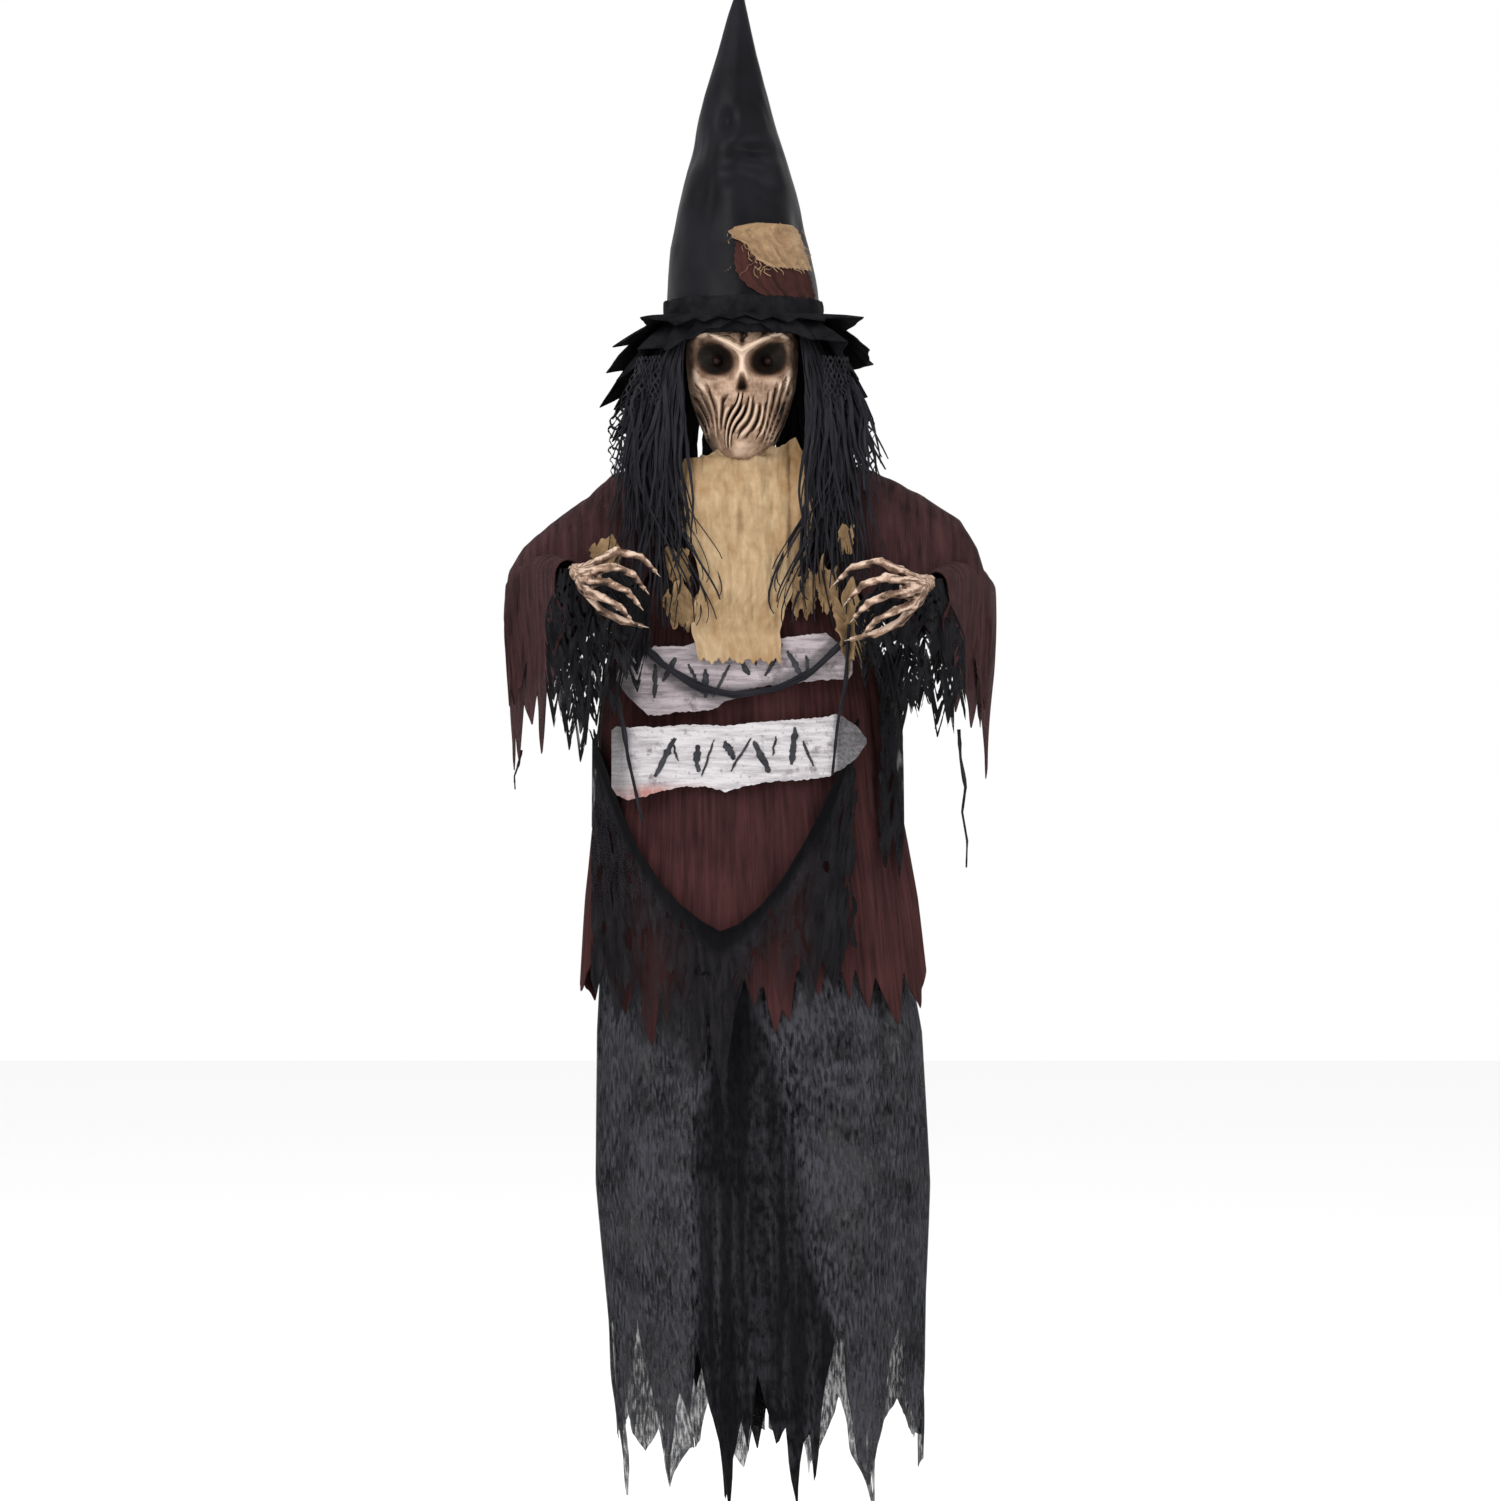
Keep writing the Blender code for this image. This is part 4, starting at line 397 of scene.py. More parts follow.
def board(name, pale, grey, stain):
    """Weathered foam board: chalky paint, streaks of dirt, a stained end, darkened ends and a
    painted shadow of the gauze.
    """
    material, shader = new_material(name, pale, 0.8, 0.5)
    grain = coordinates(material, "Object", (6.0, 1.0, 60.0))
    streak = patchy(material, grain, 3.0, 6.0, 0.7)
    place = coordinates(material, "Object", (1.0, 1.0, 1.0))
    dirt = patchy(material, place, 38.0, 6.0, 0.72)
    speck = patchy(material, place, 260.0, 3.0, 0.6)
    colour = mix_colours(material, spread(material, streak, 0.42, 0.68), pale, grey)
    colour = mix_colours(material, spread(material, dirt, 0.56, 0.68, 0.0, 0.8), colour,
                         (0.09, 0.07, 0.075))
    colour = mix_colours(material, spread(material, speck, 0.62, 0.72, 0.0, 0.6), colour,
                         (0.05, 0.045, 0.05))
    if stain:
        red = painted(material, "stain")
        red = sums(material, "MULTIPLY", red, spread(material, dirt, 0.3, 0.55))
        colour = mix_colours(material, red, colour, stain)
    # The board's ends are darkened with speckle, and on the upper board the gauze's curved shadow
    # is painted on: painted shadow.
    veil = painted(material, "veil")
    veil = sums(material, "MULTIPLY", veil, spread(material, speck, 0.34, 0.60, 1.0, 0.84))
    colour = mix_colours(material, veil, colour, (0.025, 0.023, 0.026))
    join(material, colour, shader, "Base Color")
    bumpy(material, shader, sums(material, "ADD", streak, speck), 0.6, 0.001)
    return material


def hard(name, first, second, roughness, metallic=0.0, grain=300.0, stretch=(1, 1, 1),
         bump=0.15, coat=0.0, shine=0.5):
    """Metal or moulded plastic with a fine grain and slight wear."""
    material, shader = new_material(name, first, roughness, shine)
    shader.inputs["Metallic"].default_value = metallic
    shader.inputs["Coat Weight"].default_value = coat
    fine = patchy(material, coordinates(material, "Object", stretch), grain, 4.0, 0.6)
    wear = patchy(material, coordinates(material, "Object", (1, 1, 1)), 55.0, 5.0, 0.7)
    share = sums(material, "ADD", sums(material, "MULTIPLY", fine, 0.5),
                 sums(material, "MULTIPLY", wear, 0.5))
    colour = mix_colours(material, spread(material, share, 0.38, 0.64), first, second)
    join(material, colour, shader, "Base Color")
    join(material, spread(material, wear, 0.3, 0.7, roughness * 0.8, roughness * 1.2), shader,
         "Roughness")
    bumpy(material, shader, fine, bump, 0.0005)
    return material


hat_satin = satin("hat_satin", (0.002, 0.002, 0.003), (0.009, 0.009, 0.012))
hat_felt = felt("hat_felt", (0.003, 0.003, 0.004), (0.014, 0.013, 0.015))
burlap = woven("burlap", (0.17, 0.105, 0.055), (0.36, 0.24, 0.135), 520.0, sheen=0.1,
               stain=(0.10, 0.05, 0.025))
patch_cloth = woven("patch_cloth", (0.018, 0.008, 0.007), (0.052, 0.020, 0.017), 700.0)
bib_cloth = woven("bib_cloth", (0.27, 0.18, 0.095), (0.455, 0.335, 0.205), 620.0,
                  streaks=(80.0, 44.0), stain=(0.25, 0.14, 0.06), contrast=0.17)
scrap_cloth = woven("scrap_cloth", (0.13, 0.082, 0.04), (0.34, 0.225, 0.12), 620.0,
                    stain=(0.07, 0.04, 0.02))
robe_cloth = woven("robe_cloth", (0.017, 0.007, 0.007), (0.056, 0.0205, 0.0205), 640.0,
                   streaks=(170.0, 9.0))
sleeve_cloth = woven("sleeve_cloth", (0.015, 0.008, 0.009), (0.062, 0.027, 0.028), 560.0,
                     see_through=(0.86, 1.0), streaks=(110.0, 12.0))
swag_gauze = woven("swag_gauze", (0.005, 0.005, 0.006), (0.022, 0.020, 0.023), 520.0,
                   see_through=(0.12, 0.74), streaks=(120.0, 34.0))
black_gauze = woven("black_gauze", (0.004, 0.004, 0.005), (0.020, 0.019, 0.021), 520.0,
                    see_through=(0.50, 1.0), streaks=(120.0, 40.0))
skirt_cloth = woven("skirt_cloth", (0.005, 0.005, 0.006), (0.050, 0.050, 0.058), 560.0,
                    see_through=(0.50, 1.0), streaks=(280.0, 60.0), contrast=0.085)
panel_cloth = woven("panel_cloth", (0.002, 0.002, 0.002), (0.008, 0.008, 0.009), 800.0,
                    see_through=(0.95, 1.0), streaks=(120.0, 8.0))
hair_gauze = woven("hair_gauze", (0.003, 0.003, 0.004), (0.030, 0.029, 0.036), 900.0,
                   streaks=(900.0, 30.0), sheen=0.03)
mask_bone = bone("mask_bone", (0.60, 0.45, 0.34), (0.385, 0.262, 0.185), (0.165, 0.098, 0.063),
                 (0.050, 0.024, 0.014))
hand_bone = bone("hand_bone", (0.50, 0.37, 0.29), (0.31, 0.20, 0.142), (0.125, 0.072, 0.045),
                 (0.036, 0.018, 0.011))
nail_horn = hard("nail_horn", (0.50, 0.41, 0.32), (0.20, 0.13, 0.085), 0.45, shine=0.2)
upper_board = board("upper_board", (0.36, 0.31, 0.325), (0.13, 0.11, 0.12), None)
lower_board = board("lower_board", (0.47, 0.45, 0.46), (0.22, 0.20, 0.21), (0.30, 0.12, 0.10))
brush_paint = hard("brush_paint", (0.012, 0.013, 0.016), (0.045, 0.045, 0.050), 0.8, grain=120.0,
                   shine=0.1)

slot_looks = {
    "steel": hard("steel", (0.50, 0.50, 0.52), (0.36, 0.36, 0.38), 0.32, 1.0, 700.0, (1, 1, 0.05)),
    "zinc": hard("zinc", (0.46, 0.46, 0.48), (0.30, 0.30, 0.32), 0.4, 1.0, 420.0),
    "brass": hard("brass", (0.70, 0.50, 0.21), (0.45, 0.31, 0.12), 0.35, 1.0, 500.0),
    "black_paint": hard("black_paint", (0.03, 0.03, 0.03), (0.08, 0.075, 0.07), 0.45, 0.0, 600.0),
    "housing": hard("housing", (0.035, 0.035, 0.04), (0.06, 0.06, 0.065), 0.6, 0.0, 1500.0,
                    bump=0.4),
    "gear_plastic": hard("gear_plastic", (0.80, 0.77, 0.70), (0.66, 0.62, 0.54), 0.45, 0.0, 300.0),
    "gearbox_plastic": hard("gearbox_plastic", (0.70, 0.68, 0.63), (0.56, 0.53, 0.48), 0.5, 0.0,
                            900.0),
    "board_green": hard("board_green", (0.03, 0.20, 0.08), (0.02, 0.12, 0.05), 0.4, 0.0, 260.0),
    "speaker_black": hard("speaker_black", (0.03, 0.03, 0.03), (0.06, 0.06, 0.06), 0.85, 0.0,
                          1200.0,
                          bump=0.5),
    "cell_jacket": hard("cell_jacket", (0.30, 0.28, 0.25), (0.20, 0.19, 0.17), 0.25, 0.0, 200.0,
                        coat=0.5),
    "contact_metal": hard("contact_metal", (0.66, 0.58, 0.38), (0.5, 0.42, 0.26), 0.3, 1.0, 500.0),
    "button_red": hard("button_red", (0.50, 0.04, 0.03), (0.36, 0.03, 0.02), 0.3, 0.0, 300.0,
                       coat=0.4),
    "eye_red": hard("eye_red", (0.008, 0.004, 0.004), (0.014, 0.005, 0.004), 0.30, 0.0, 200.0,
                    shine=0.12),
    "bone_latex": hand_bone,
    "limb_plastic": hard("limb_plastic", (0.09, 0.08, 0.075), (0.15, 0.135, 0.12), 0.6, 0.0, 800.0,
                         bump=0.4),
    "black_cloth": panel_cloth,
}


# ---- Hat ----

# Each row of the crown: height, radius, sideways place
CROWN_ROWS = millimetres(
    3, -12, 6, -4, -30, 11, -5, -80, 23.5, -6.5, -128, 37.5, -7.5, -175, 50, -7.5, -222, 63, -6,
    -270, 74.5, -4, -318, 84.5, -2, -366, 90, 1, -392, 93, 1.5, -428, 95.5, 1)
CROWN_FLAT = (0.60, 0.42)
# Dents in the crown: angle in degrees from the front, height, width, drop, depth
CROWN_DENTS = ((-14.0, -0.168, 0.012, 0.016, 0.01), (24.0, -0.205, 0.03, 0.01, 0.009),
               (30.0, -0.25, 0.022, 0.014, 0.007), (-38.0, -0.262, 0.018, 0.034, 0.008),
               (6.0, -0.235, 0.04, 0.012, 0.006), (-70.0, -0.2, 0.03, 0.03, 0.008),
               (75.0, -0.3, 0.028, 0.03, 0.007), (150.0, -0.24, 0.04, 0.02, 0.012),
               (-140.0, -0.31, 0.04, 0.024, 0.01))


def crown_point(turn, z, out=0.0):
    """A point on the crown. turn is in degrees from the front, towards the viewer's right."""
    radius, side = down(CROWN_ROWS, z)
    angle = math.radians(turn)
    dent = 0.0
    for dent_turn, dent_z, width, drop, depth in CROWN_DENTS:
        away = math.radians((turn - dent_turn + 180.0) % 360.0 - 180.0) * radius / width
        fall = (z - dent_z) / drop
        dent += depth * math.exp(-away * away - fall * fall)
    crease = (0.0032 * rough(turn / 34.0, z * 9.0, 0.0, 2.0)
              + 0.0007 * rough(turn / 12.0, z * 34.0, 0.0, 3.0))
    share = smooth_step(0.006, 0.04, radius)
    radius += out + (crease - dent) * share
    return Vector((side + radius * math.sin(angle), -radius * math.cos(angle), z))


def crown_turn(x, z):
    """The turn, in degrees, at which the crown lies at this sideways place and height."""
    radius, side = down(CROWN_ROWS, z)
    return math.degrees(math.asin(clamp((x - side) / (radius + 0.004), -0.985, 0.985)))


def build_crown():
    top, bottom = CROWN_ROWS[0][0], CROWN_ROWS[-1][0]

    def place(u, v):
        return crown_point((u - 0.5) * 360.0, lerp(top, bottom, v ** 0.9))

    bm = cloth_grid(150, 150, place, CROWN_FLAT, close=True)
    crown = make_piece("witch_hat_crown", bm, hat_satin, wall=0.0016)
    fit(crown, "head", "hat_satin", "hat_crown", "tip_grommet")
    declare_cloth(crown, CROWN_FLAT)


BAND_FLAT = (0.61, 0.05)


def build_band():
    def place(u, v):
        turn = (u - 0.5) * 360.0
        edge = 0.006 * torn(u * 3.0, 0.05, 0.3) * (1.0 if v > 0.5 else 0.6)
        z = lerp(-0.382, -0.431, v) + (edge if v > 0.5 else -edge) * abs(v - 0.5) * 2.0
        ripple = 0.0022 + 0.0020 * rough(turn / 11.0, z * 70.0, 0.0, 5.0)
        return (crown_point(turn, max(z, -0.427), 0.0018 + abs(ripple))
                + Vector((0, 0, min(z + 0.427, 0))))

    bm = cloth_grid(170, 10, place, BAND_FLAT, close=True)
    band = make_piece("witch_hat_band", bm, hat_felt, wall=0.0018)
    fit(band, "head", "hat_felt", "hat_band")
    declare_cloth(band, BAND_FLAT)


# Torn felt points of the brim: turn in degrees from the front, reach, drop of the point
BRIM_POINTS = ((-178, 0.15, 0.06), (-166, 0.122, 0.045), (-152, 0.158, 0.08),
               (-141, 0.124, 0.055), (-128, 0.164, 0.094), (-120, 0.134, 0.066),
               (-110, 0.174, 0.116), (-104, 0.142, 0.084), (-97, 0.177, 0.106),
               (-92, 0.146, 0.064), (-86, 0.168, 0.07), (-81, 0.14, 0.036), (-75, 0.162, 0.04),
               (-67, 0.126, 0.014), (-60, 0.143, 0.006), (-50, 0.116, 0.008), (-41, 0.124, 0.016),
               (-33, 0.108, 0.008), (-24, 0.114, 0.014), (-16, 0.105, 0.007), (-7, 0.11, 0.012),
               (2, 0.104, 0.006), (11, 0.111, 0.013), (20, 0.105, 0.007), (29, 0.114, 0.015),
               (38, 0.11, 0.008), (48, 0.132, 0.012), (55, 0.122, 0.006), (62, 0.165, 0.006),
               (70, 0.134, 0.018), (77, 0.158, 0.04), (84, 0.152, 0.058), (89, 0.16, 0.056),
               (95, 0.134, 0.062), (104, 0.146, 0.114), (111, 0.13, 0.078), (121, 0.166, 0.1),
               (132, 0.13, 0.06), (144, 0.16, 0.086), (156, 0.126, 0.05), (168, 0.152, 0.07),
               (182, 0.15, 0.06))
BRIM_FLAT = (0.90, 0.085)


def build_brim(name, root_z, turn_shift, shorten, extra_drop, nodes):
    def place(u, v):
        turn = (u - 0.5) * 360.0
        angle = math.radians(turn)
        shifted = (turn + turn_shift + 178.0) % 360.0 - 178.0
        reach, fall = along(BRIM_POINTS, shifted)
        reach = lerp(0.104, reach, shorten)
        radius = lerp(0.0915, reach + 0.003 * rough(turn / 3.0, 0, 0, 1.0), v)
        side = abs(math.sin(angle)) ** 1.5
        wave = 0.006 * rough(turn / 16.0, v * 1.4, 0.0, 8.0) * v
        z = root_z - (fall + extra_drop * side) * v ** 1.25 + wave * side
        return Vector((0.001 + radius * math.sin(angle), -radius * math.cos(angle), z))

    bm = cloth_grid(360, 14, place, BRIM_FLAT, close=True)
    brim = make_piece(name, bm, hat_felt, wall=0.0018)
    fit(brim, "head", "hat_felt", *nodes)
    declare_cloth(brim, BRIM_FLAT)


# Patches on the crown, each row: height, left edge, right edge
TAN_ROWS = millimetres(
    3, -295.5, 20, 56, -300, -4, 66, -306, -14, 69, -314, -10, 72, -322, 6, 73, -332, 12, 76,
    -342, 20, 80, -349, 34, 82)
MAROON_ROWS = millimetres(
    3, -318, -6, 58, -330, -7, 66, -342, -8, 74, -354, -6, 80, -364, 0, 83, -374, 10, 84,
    -384, 26, 87, -394, 36, 85)


def build_patch(name, rows, out, material, node, slot_name, seed):
    top, bottom = rows[0][0], rows[-1][0]
    flat = (0.110, 0.080)

    def place(u, v):
        z = lerp(top, bottom, v)
        left, right = down(rows, z)
        z += 0.0045 * (torn(u, 0.09, seed) - 0.5) * smooth_step(0.75, 1.0, v)
        x = lerp(left - 0.003 * torn(v, 0.12, seed), right + 0.003 * torn(v, 0.1, seed + 1), u)
        pucker = 0.0016 * rough(x * 130.0, z * 130.0, 0.0, seed) + 0.0012
        return crown_point(crown_turn(x, z), z, out + max(pucker, 0.0))

    bm = cloth_grid(64, 44, place, flat)
    patch = make_piece(name, bm, material, wall=0.0009)
    fit(patch, "head", slot_name, node)
    declare_cloth(patch, flat)


def build_frays(name, rows, material, count, seed):
    """Loose threads along a patch's edges."""
    source = random.Random(seed)
    bm = bmesh.new()
    for _ in range(count):
        z = lerp(rows[0][0], rows[-1][0], source.random())
        left, right = down(rows, z)
        side = source.random()
        x = left if side < 0.3 else right if side < 0.6 else lerp(left, right, source.random())
        if side >= 0.6:
            z = rows[-1][0] if source.random() < 0.6 else rows[0][0]
        heading = source.uniform(-2.6, -0.5)
        length = source.uniform(0.006, 0.016)
        points = []
        for step in range(5):
            share = step / 4.0
            heading += source.uniform(-0.4, 0.4)
            px = x + math.cos(heading) * length * share
            pz = z + math.sin(heading) * length * share
            points.append(crown_point(crown_turn(px, pz), pz, 0.0055 + 0.001 * share))
        add_ribbon(bm, points, [0.0009] * 5, [Vector((0.7, 0, 0.7))] * 5, source.random())
    threads = make_piece(name, bm, material, wall=0.0005)
    fit(threads, "head", "burlap")


# ---- Mask ----

# Each row of the head: height, half width, front depth, back depth
HEAD_ROWS = millimetres(
    4, -370, 40, 46, 46, -382, 58, 66, 64, -400, 66, 79, 76, -425, 69, 87, 82, -450, 69, 90, 84,
    -470, 67.5, 90.5, 83, -490, 65, 91, 79, -510, 60, 91.5, 72, -530, 53, 91.5, 63,
    -550, 44.5, 90.5, 50, -566, 36, 87, 36, -577, 26, 80, 24, -583, 14, 66, 10)
SOCKET_X = 0.0335
SOCKET_Z = -0.4590
RIDGE_FOCUS_Z = -0.690
RIDGE_STEP = 0.0430  # angle between two stretched ridges, in radians


def bump_at(x, z, centre_x, centre_z, half_x, half_z, tilt=0.0, power=2.0):
    """A soft hump from 0 to 1 over a tilted oval."""
    dx, dz = x - centre_x, z - centre_z
    across = (dx * math.cos(tilt) + dz * math.sin(tilt)) / half_x
    up = (dz * math.cos(tilt) - dx * math.sin(tilt)) / half_z
    return math.exp(-((across * across + up * up) ** (power / 2.0)))


def mask_relief(x, z):
    """How far the face stands out here, and how deep its crease is, which also sets painted shade
    and highlight in the bone's colour.
    """
    side = -1.0 if x < 0.0 else 1.0
    ax = abs(x)
    out = 0.0
    socket = bump_at(ax, z, SOCKET_X, SOCKET_Z, 0.0262, 0.0198, 0.38, 3.8)
    pit = bump_at(ax, z, SOCKET_X - 0.001, SOCKET_Z - 0.001, 0.0140, 0.0100, 0.38, 2.6)
    out -= 0.0190 * socket + 0.0090 * pit
    brow_z = -0.4505 + 0.56 * ax - 2.6 * max(ax - 0.040, 0.0) ** 1.3
    brow = hump(z - brow_z, 0.0044) * smooth_step(0.060, 0.045, ax)
    out += 0.0088 * brow
    rim = hump(ax - 0.0565, 0.0055) * window(z, -0.50, -0.47, -0.44, -0.42)
    out += 0.0040 * rim
    furrow = hump(ax, 0.0032) * window(z, -0.452, -0.440, -0.43, -0.405)
    out -= 0.0040 * furrow
    bridge = hump(ax, 0.0085) * window(z, -0.497, -0.478, -0.458, -0.440)
    out += 0.0085 * bridge
    nose_half = 0.0030 + 0.0035 * smooth_step(-0.478, -0.496, z)
    nose = math.exp(-((ax / nose_half) ** 4) - ((z + 0.4885) / 0.0100) ** 4)
    out -= 0.0170 * nose
    cheek = bump_at(ax, z, 0.043, -0.4865, 0.020, 0.0095, -0.35, 2.0)
    out += 0.0050 * cheek
    hollow = bump_at(ax, z, 0.047, -0.522, 0.014, 0.022, 0.15, 2.0)
    out -= 0.0055 * hollow
    lip = bump_at(ax, z, 0.012, -0.506, 0.020, 0.007)
    out += 0.0028 * lip

    sway = (0.011 * rough(x * 19.0, z * 12.0, 0.0, 4.0)
            + 0.0030 * rough(x * 55.0, z * 26.0, 0.0, 9.0))
    lean = -0.16 * side * smooth_step(0.012, 0.05, ax) * (z + 0.53)
    middle = -0.50 * (z + 0.53) * bump_at(x, z, -0.008, -0.53, 0.018, 0.05)
    angle = math.atan2(x + sway + lean + middle, z - RIDGE_FOCUS_Z)
    ridge = angle / RIDGE_STEP
    index = math.floor(ridge)
    chance = random.Random(int(index) * 31 + 7)
    slot_top = lerp(-0.499, -0.522, chance.random()) + 0.020 * smooth_step(0.026, 0.052, ax)
    slot_bottom = lerp(-0.544, -0.568, chance.random()) + 0.26 * max(ax - 0.012, 0.0)
    reach = window(z, slot_bottom - 0.004, slot_bottom + 0.004, slot_top - 0.004, slot_top + 0.004)
    wave = 0.5 - 0.5 * math.cos(2.0 * math.pi * (ridge - index))
    gap = (1.0 - wave) ** lerp(0.75, 1.5, chance.random())
    edge = smooth_step(0.066, 0.056, ax)
    slit = smooth_step(0.40, 0.85, gap) * reach * edge * lerp(0.65, 1.0, chance.random())
    out += 0.0032 * wave * reach * edge - 0.0105 * slit

    out += (0.0011 * rough(x * 90.0, z * 60.0, 0.0, 3.0)
            + 0.0006 * rough(x * 220.0, z * 160.0, 0.0, 6.0))
    wrinkle = abs(rough(x * 55.0, z * 120.0, 0.0, 12.0))
    crown = smooth_step(-0.448, -0.430, z)
    out -= 0.0016 * (1.0 - smooth_step(0.0, 0.16, wrinkle)) * crown
    # The crease depth also colours the bone: the eye sockets most, then the nostrils, slits, furrow
    # and cheek hollows are darkened with painted shade; the top of the face and its wrinkles, under
    # the brim, are darker too; the brow, bridge, cheeks, rim, chin and the ridges between the slits
    # are lightened with a painted highlight.
    dark = bump_at(ax, z, SOCKET_X, SOCKET_Z, 0.0275, 0.0208, 0.38, 6.0)
    chin = bump_at(ax, z, 0.0, -0.568, 0.018, 0.012)
    depth = clamp(1.15 * dark + 0.9 * nose + 1.0 * slit + 0.6 * furrow + 0.35 * hollow
                  + 0.5 * crown * (1.0 - smooth_step(0.0, 0.22, wrinkle)) + 0.25 * crown
                  - 1.1 * brow - 0.38 * bridge - 0.2 * cheek - 0.35 * rim - 0.2 * chin
                  - 0.26 * wave * reach * edge, -0.5, 1.2)
    return out, depth


def build_mask():
    flat = (0.46, 0.26)
    top, bottom = HEAD_ROWS[0][0], HEAD_ROWS[-1][0]

    def head_point(u, v):
        side = 2.0 * u - 1.0
        angle = math.pi * (0.42 * side + 0.58 * side ** 3)
        z = lerp(top, bottom, v)
        half, front, back = down(HEAD_ROWS, z)
        x = half * math.sin(angle)
        facing = math.cos(angle)
        y = -front * max(facing, 0.0) ** 0.82 + back * max(-facing, 0.0) ** 0.9
        return Vector((x, y, z)), angle

    def place(u, v):
        point, angle = head_point(u, v)
        out = mask_relief(point.x, point.z)[0] * smooth_step(1.75, 1.25, abs(angle))
        fade = smooth_step(-0.372, -0.39, point.z)
        return point + Vector((0.55 * math.sin(angle), -math.cos(angle), 0.0)) * out * fade

    bm = cloth_grid(300, 230, place, flat, close=True)
    ends = [edge for edge in bm.edges if edge.is_boundary]
    filled = bmesh.ops.holes_fill(bm, edges=ends, sides=0)["faces"]
    bmesh.ops.triangulate(bm, faces=filled)
    crease = bm.verts.layers.float.new("crease")
    for vert in bm.verts:
        front = smooth_step(0.0, -0.03, vert.co.y)
        vert[crease] = (clamp(mask_relief(vert.co.x, vert.co.z)[1], -0.5) * front
                        + 0.45 * (1.0 - front))
    mask = make_piece("bone_mask", bm, mask_bone)
    fit(mask, "head", "bone_latex", "face_mask", "skull_back")


LENS_RADIUS = 0.0060


def build_lens(side_name, sign):
    """A smoked lens deep in the socket, over the eye's light."""
    bm = bmesh.new()
    place = Matrix.Translation((sign * (SOCKET_X - 0.003), -0.0605, SOCKET_Z - 0.001))
    bmesh.ops.create_uvsphere(bm, u_segments=32, v_segments=20, radius=LENS_RADIUS, matrix=place)
    lens = make_piece(side_name + "_smoked_lens", bm, slot_looks["eye_red"])
    fit(lens, "head", "eye_red", "eye_light_" + side_name)


# ---- Hair ----


def lock_points(source, side, turn, end, width, sway):
    """A lock from under the brim at this turn, down to its end."""
    angle = math.radians(turn)
    start = Vector((side * 0.088 * math.sin(angle), -0.088 * math.cos(angle), -0.418))
    points, widths, across = [], [], []
    phase = source.uniform(0.0, 6.28)
    twist = source.uniform(0.0, 3.14)
    steps = 24
    for step in range(steps + 1):
        share = step / steps
        point = start.lerp(end, share)
        swing = math.sin(phase + share * sway * 6.28) * 0.007 * share ** 0.6
        out = 0.030 * math.sin(min(share * 1.25, 1.0) * math.pi) * source.uniform(0.9, 1.1)
        point.x = lerp(start.x, end.x, share ** 0.75) + swing + side * out * 0.30
        point.y += 0.5 * swing + (-1.0 if end.y < 0 else 1.0) * out * 0.35
        points.append(point)
        full = 0.55 + 0.45 * math.sin(math.pi * min(share + 0.25, 1.0))
        widths.append(width * full * (1.0 - 0.6 * share ** 4))
        turning = twist + share * sway * 2.2
        across.append(Vector((math.cos(turning), 0.6 * math.sin(turning), 0.0)))
    return points, widths, across


def build_hair():
    source = random.Random(41)
    bm = bmesh.new()
    for side in (-1, 1):
        outer = 0.172 if side > 0 else 0.158
        for _ in range(96):
            share = source.random()
            turn = lerp(52.0, 98.0, share)
            end_x = side * clamp(lerp(0.066, outer, share) + source.uniform(-0.012, 0.012), 0.060,
                                 outer)
            low = lerp(-0.760, -0.690, smooth_step(0.45, 1.0, share))
            end = Vector((end_x, source.uniform(-0.124, -0.106), low + source.uniform(-0.03, 0.12)))
            points, widths, across = lock_points(source, side, turn, end,
                                                 source.uniform(0.004, 0.0095),
                                                 source.uniform(0.4, 1.6))
            add_ribbon(bm, points, widths, across, source.random())
        for _ in range(16):
            end = Vector((side * source.uniform(0.030, 0.085), source.uniform(-0.124, -0.112),
                          source.uniform(-0.790, -0.700)))
            points, widths, across = lock_points(source, side, source.uniform(50, 70), end,
                                                 source.uniform(0.0050, 0.0088),
                                                 source.uniform(0.3, 0.6))
            bend = source.uniform(0.010, 0.020)
            for step, point in enumerate(points):
                share = step / (len(points) - 1)
                point.x += side * 0.034 * math.sin(math.pi * share)
                point.x += side * bend * share * math.sin(11.0 * share + bend * 90.0)
                point.z += bend * share * math.cos(11.0 * share)
            add_ribbon(bm, points, widths, across, source.random())
    for _ in range(96):
        turn = source.uniform(96.0, 180.0)
        side = source.choice((-1, 1))
        angle = math.radians(turn)
        reach = source.uniform(0.125, 0.150)
        end = Vector((side * reach * math.sin(angle), -reach * math.cos(angle) * 0.92 + 0.004,
                      source.uniform(-0.700, -0.600)))
        points, widths, across = lock_points(source, side, turn, end, source.uniform(0.008, 0.015),
                                             source.uniform(0.4, 1.4))
        around = [Vector((math.cos(angle), side * math.sin(angle), 0.0)) for _ in points]
        add_ribbon(bm, points, widths, around, source.random())
    hair = make_piece("gauze_hair", bm, hair_gauze, wall=0.0008)
    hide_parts("hair_curtain", "hair_fall_left", "hair_fall_right")
    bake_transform(hair)


NET_FLAT = (0.085, 0.19)


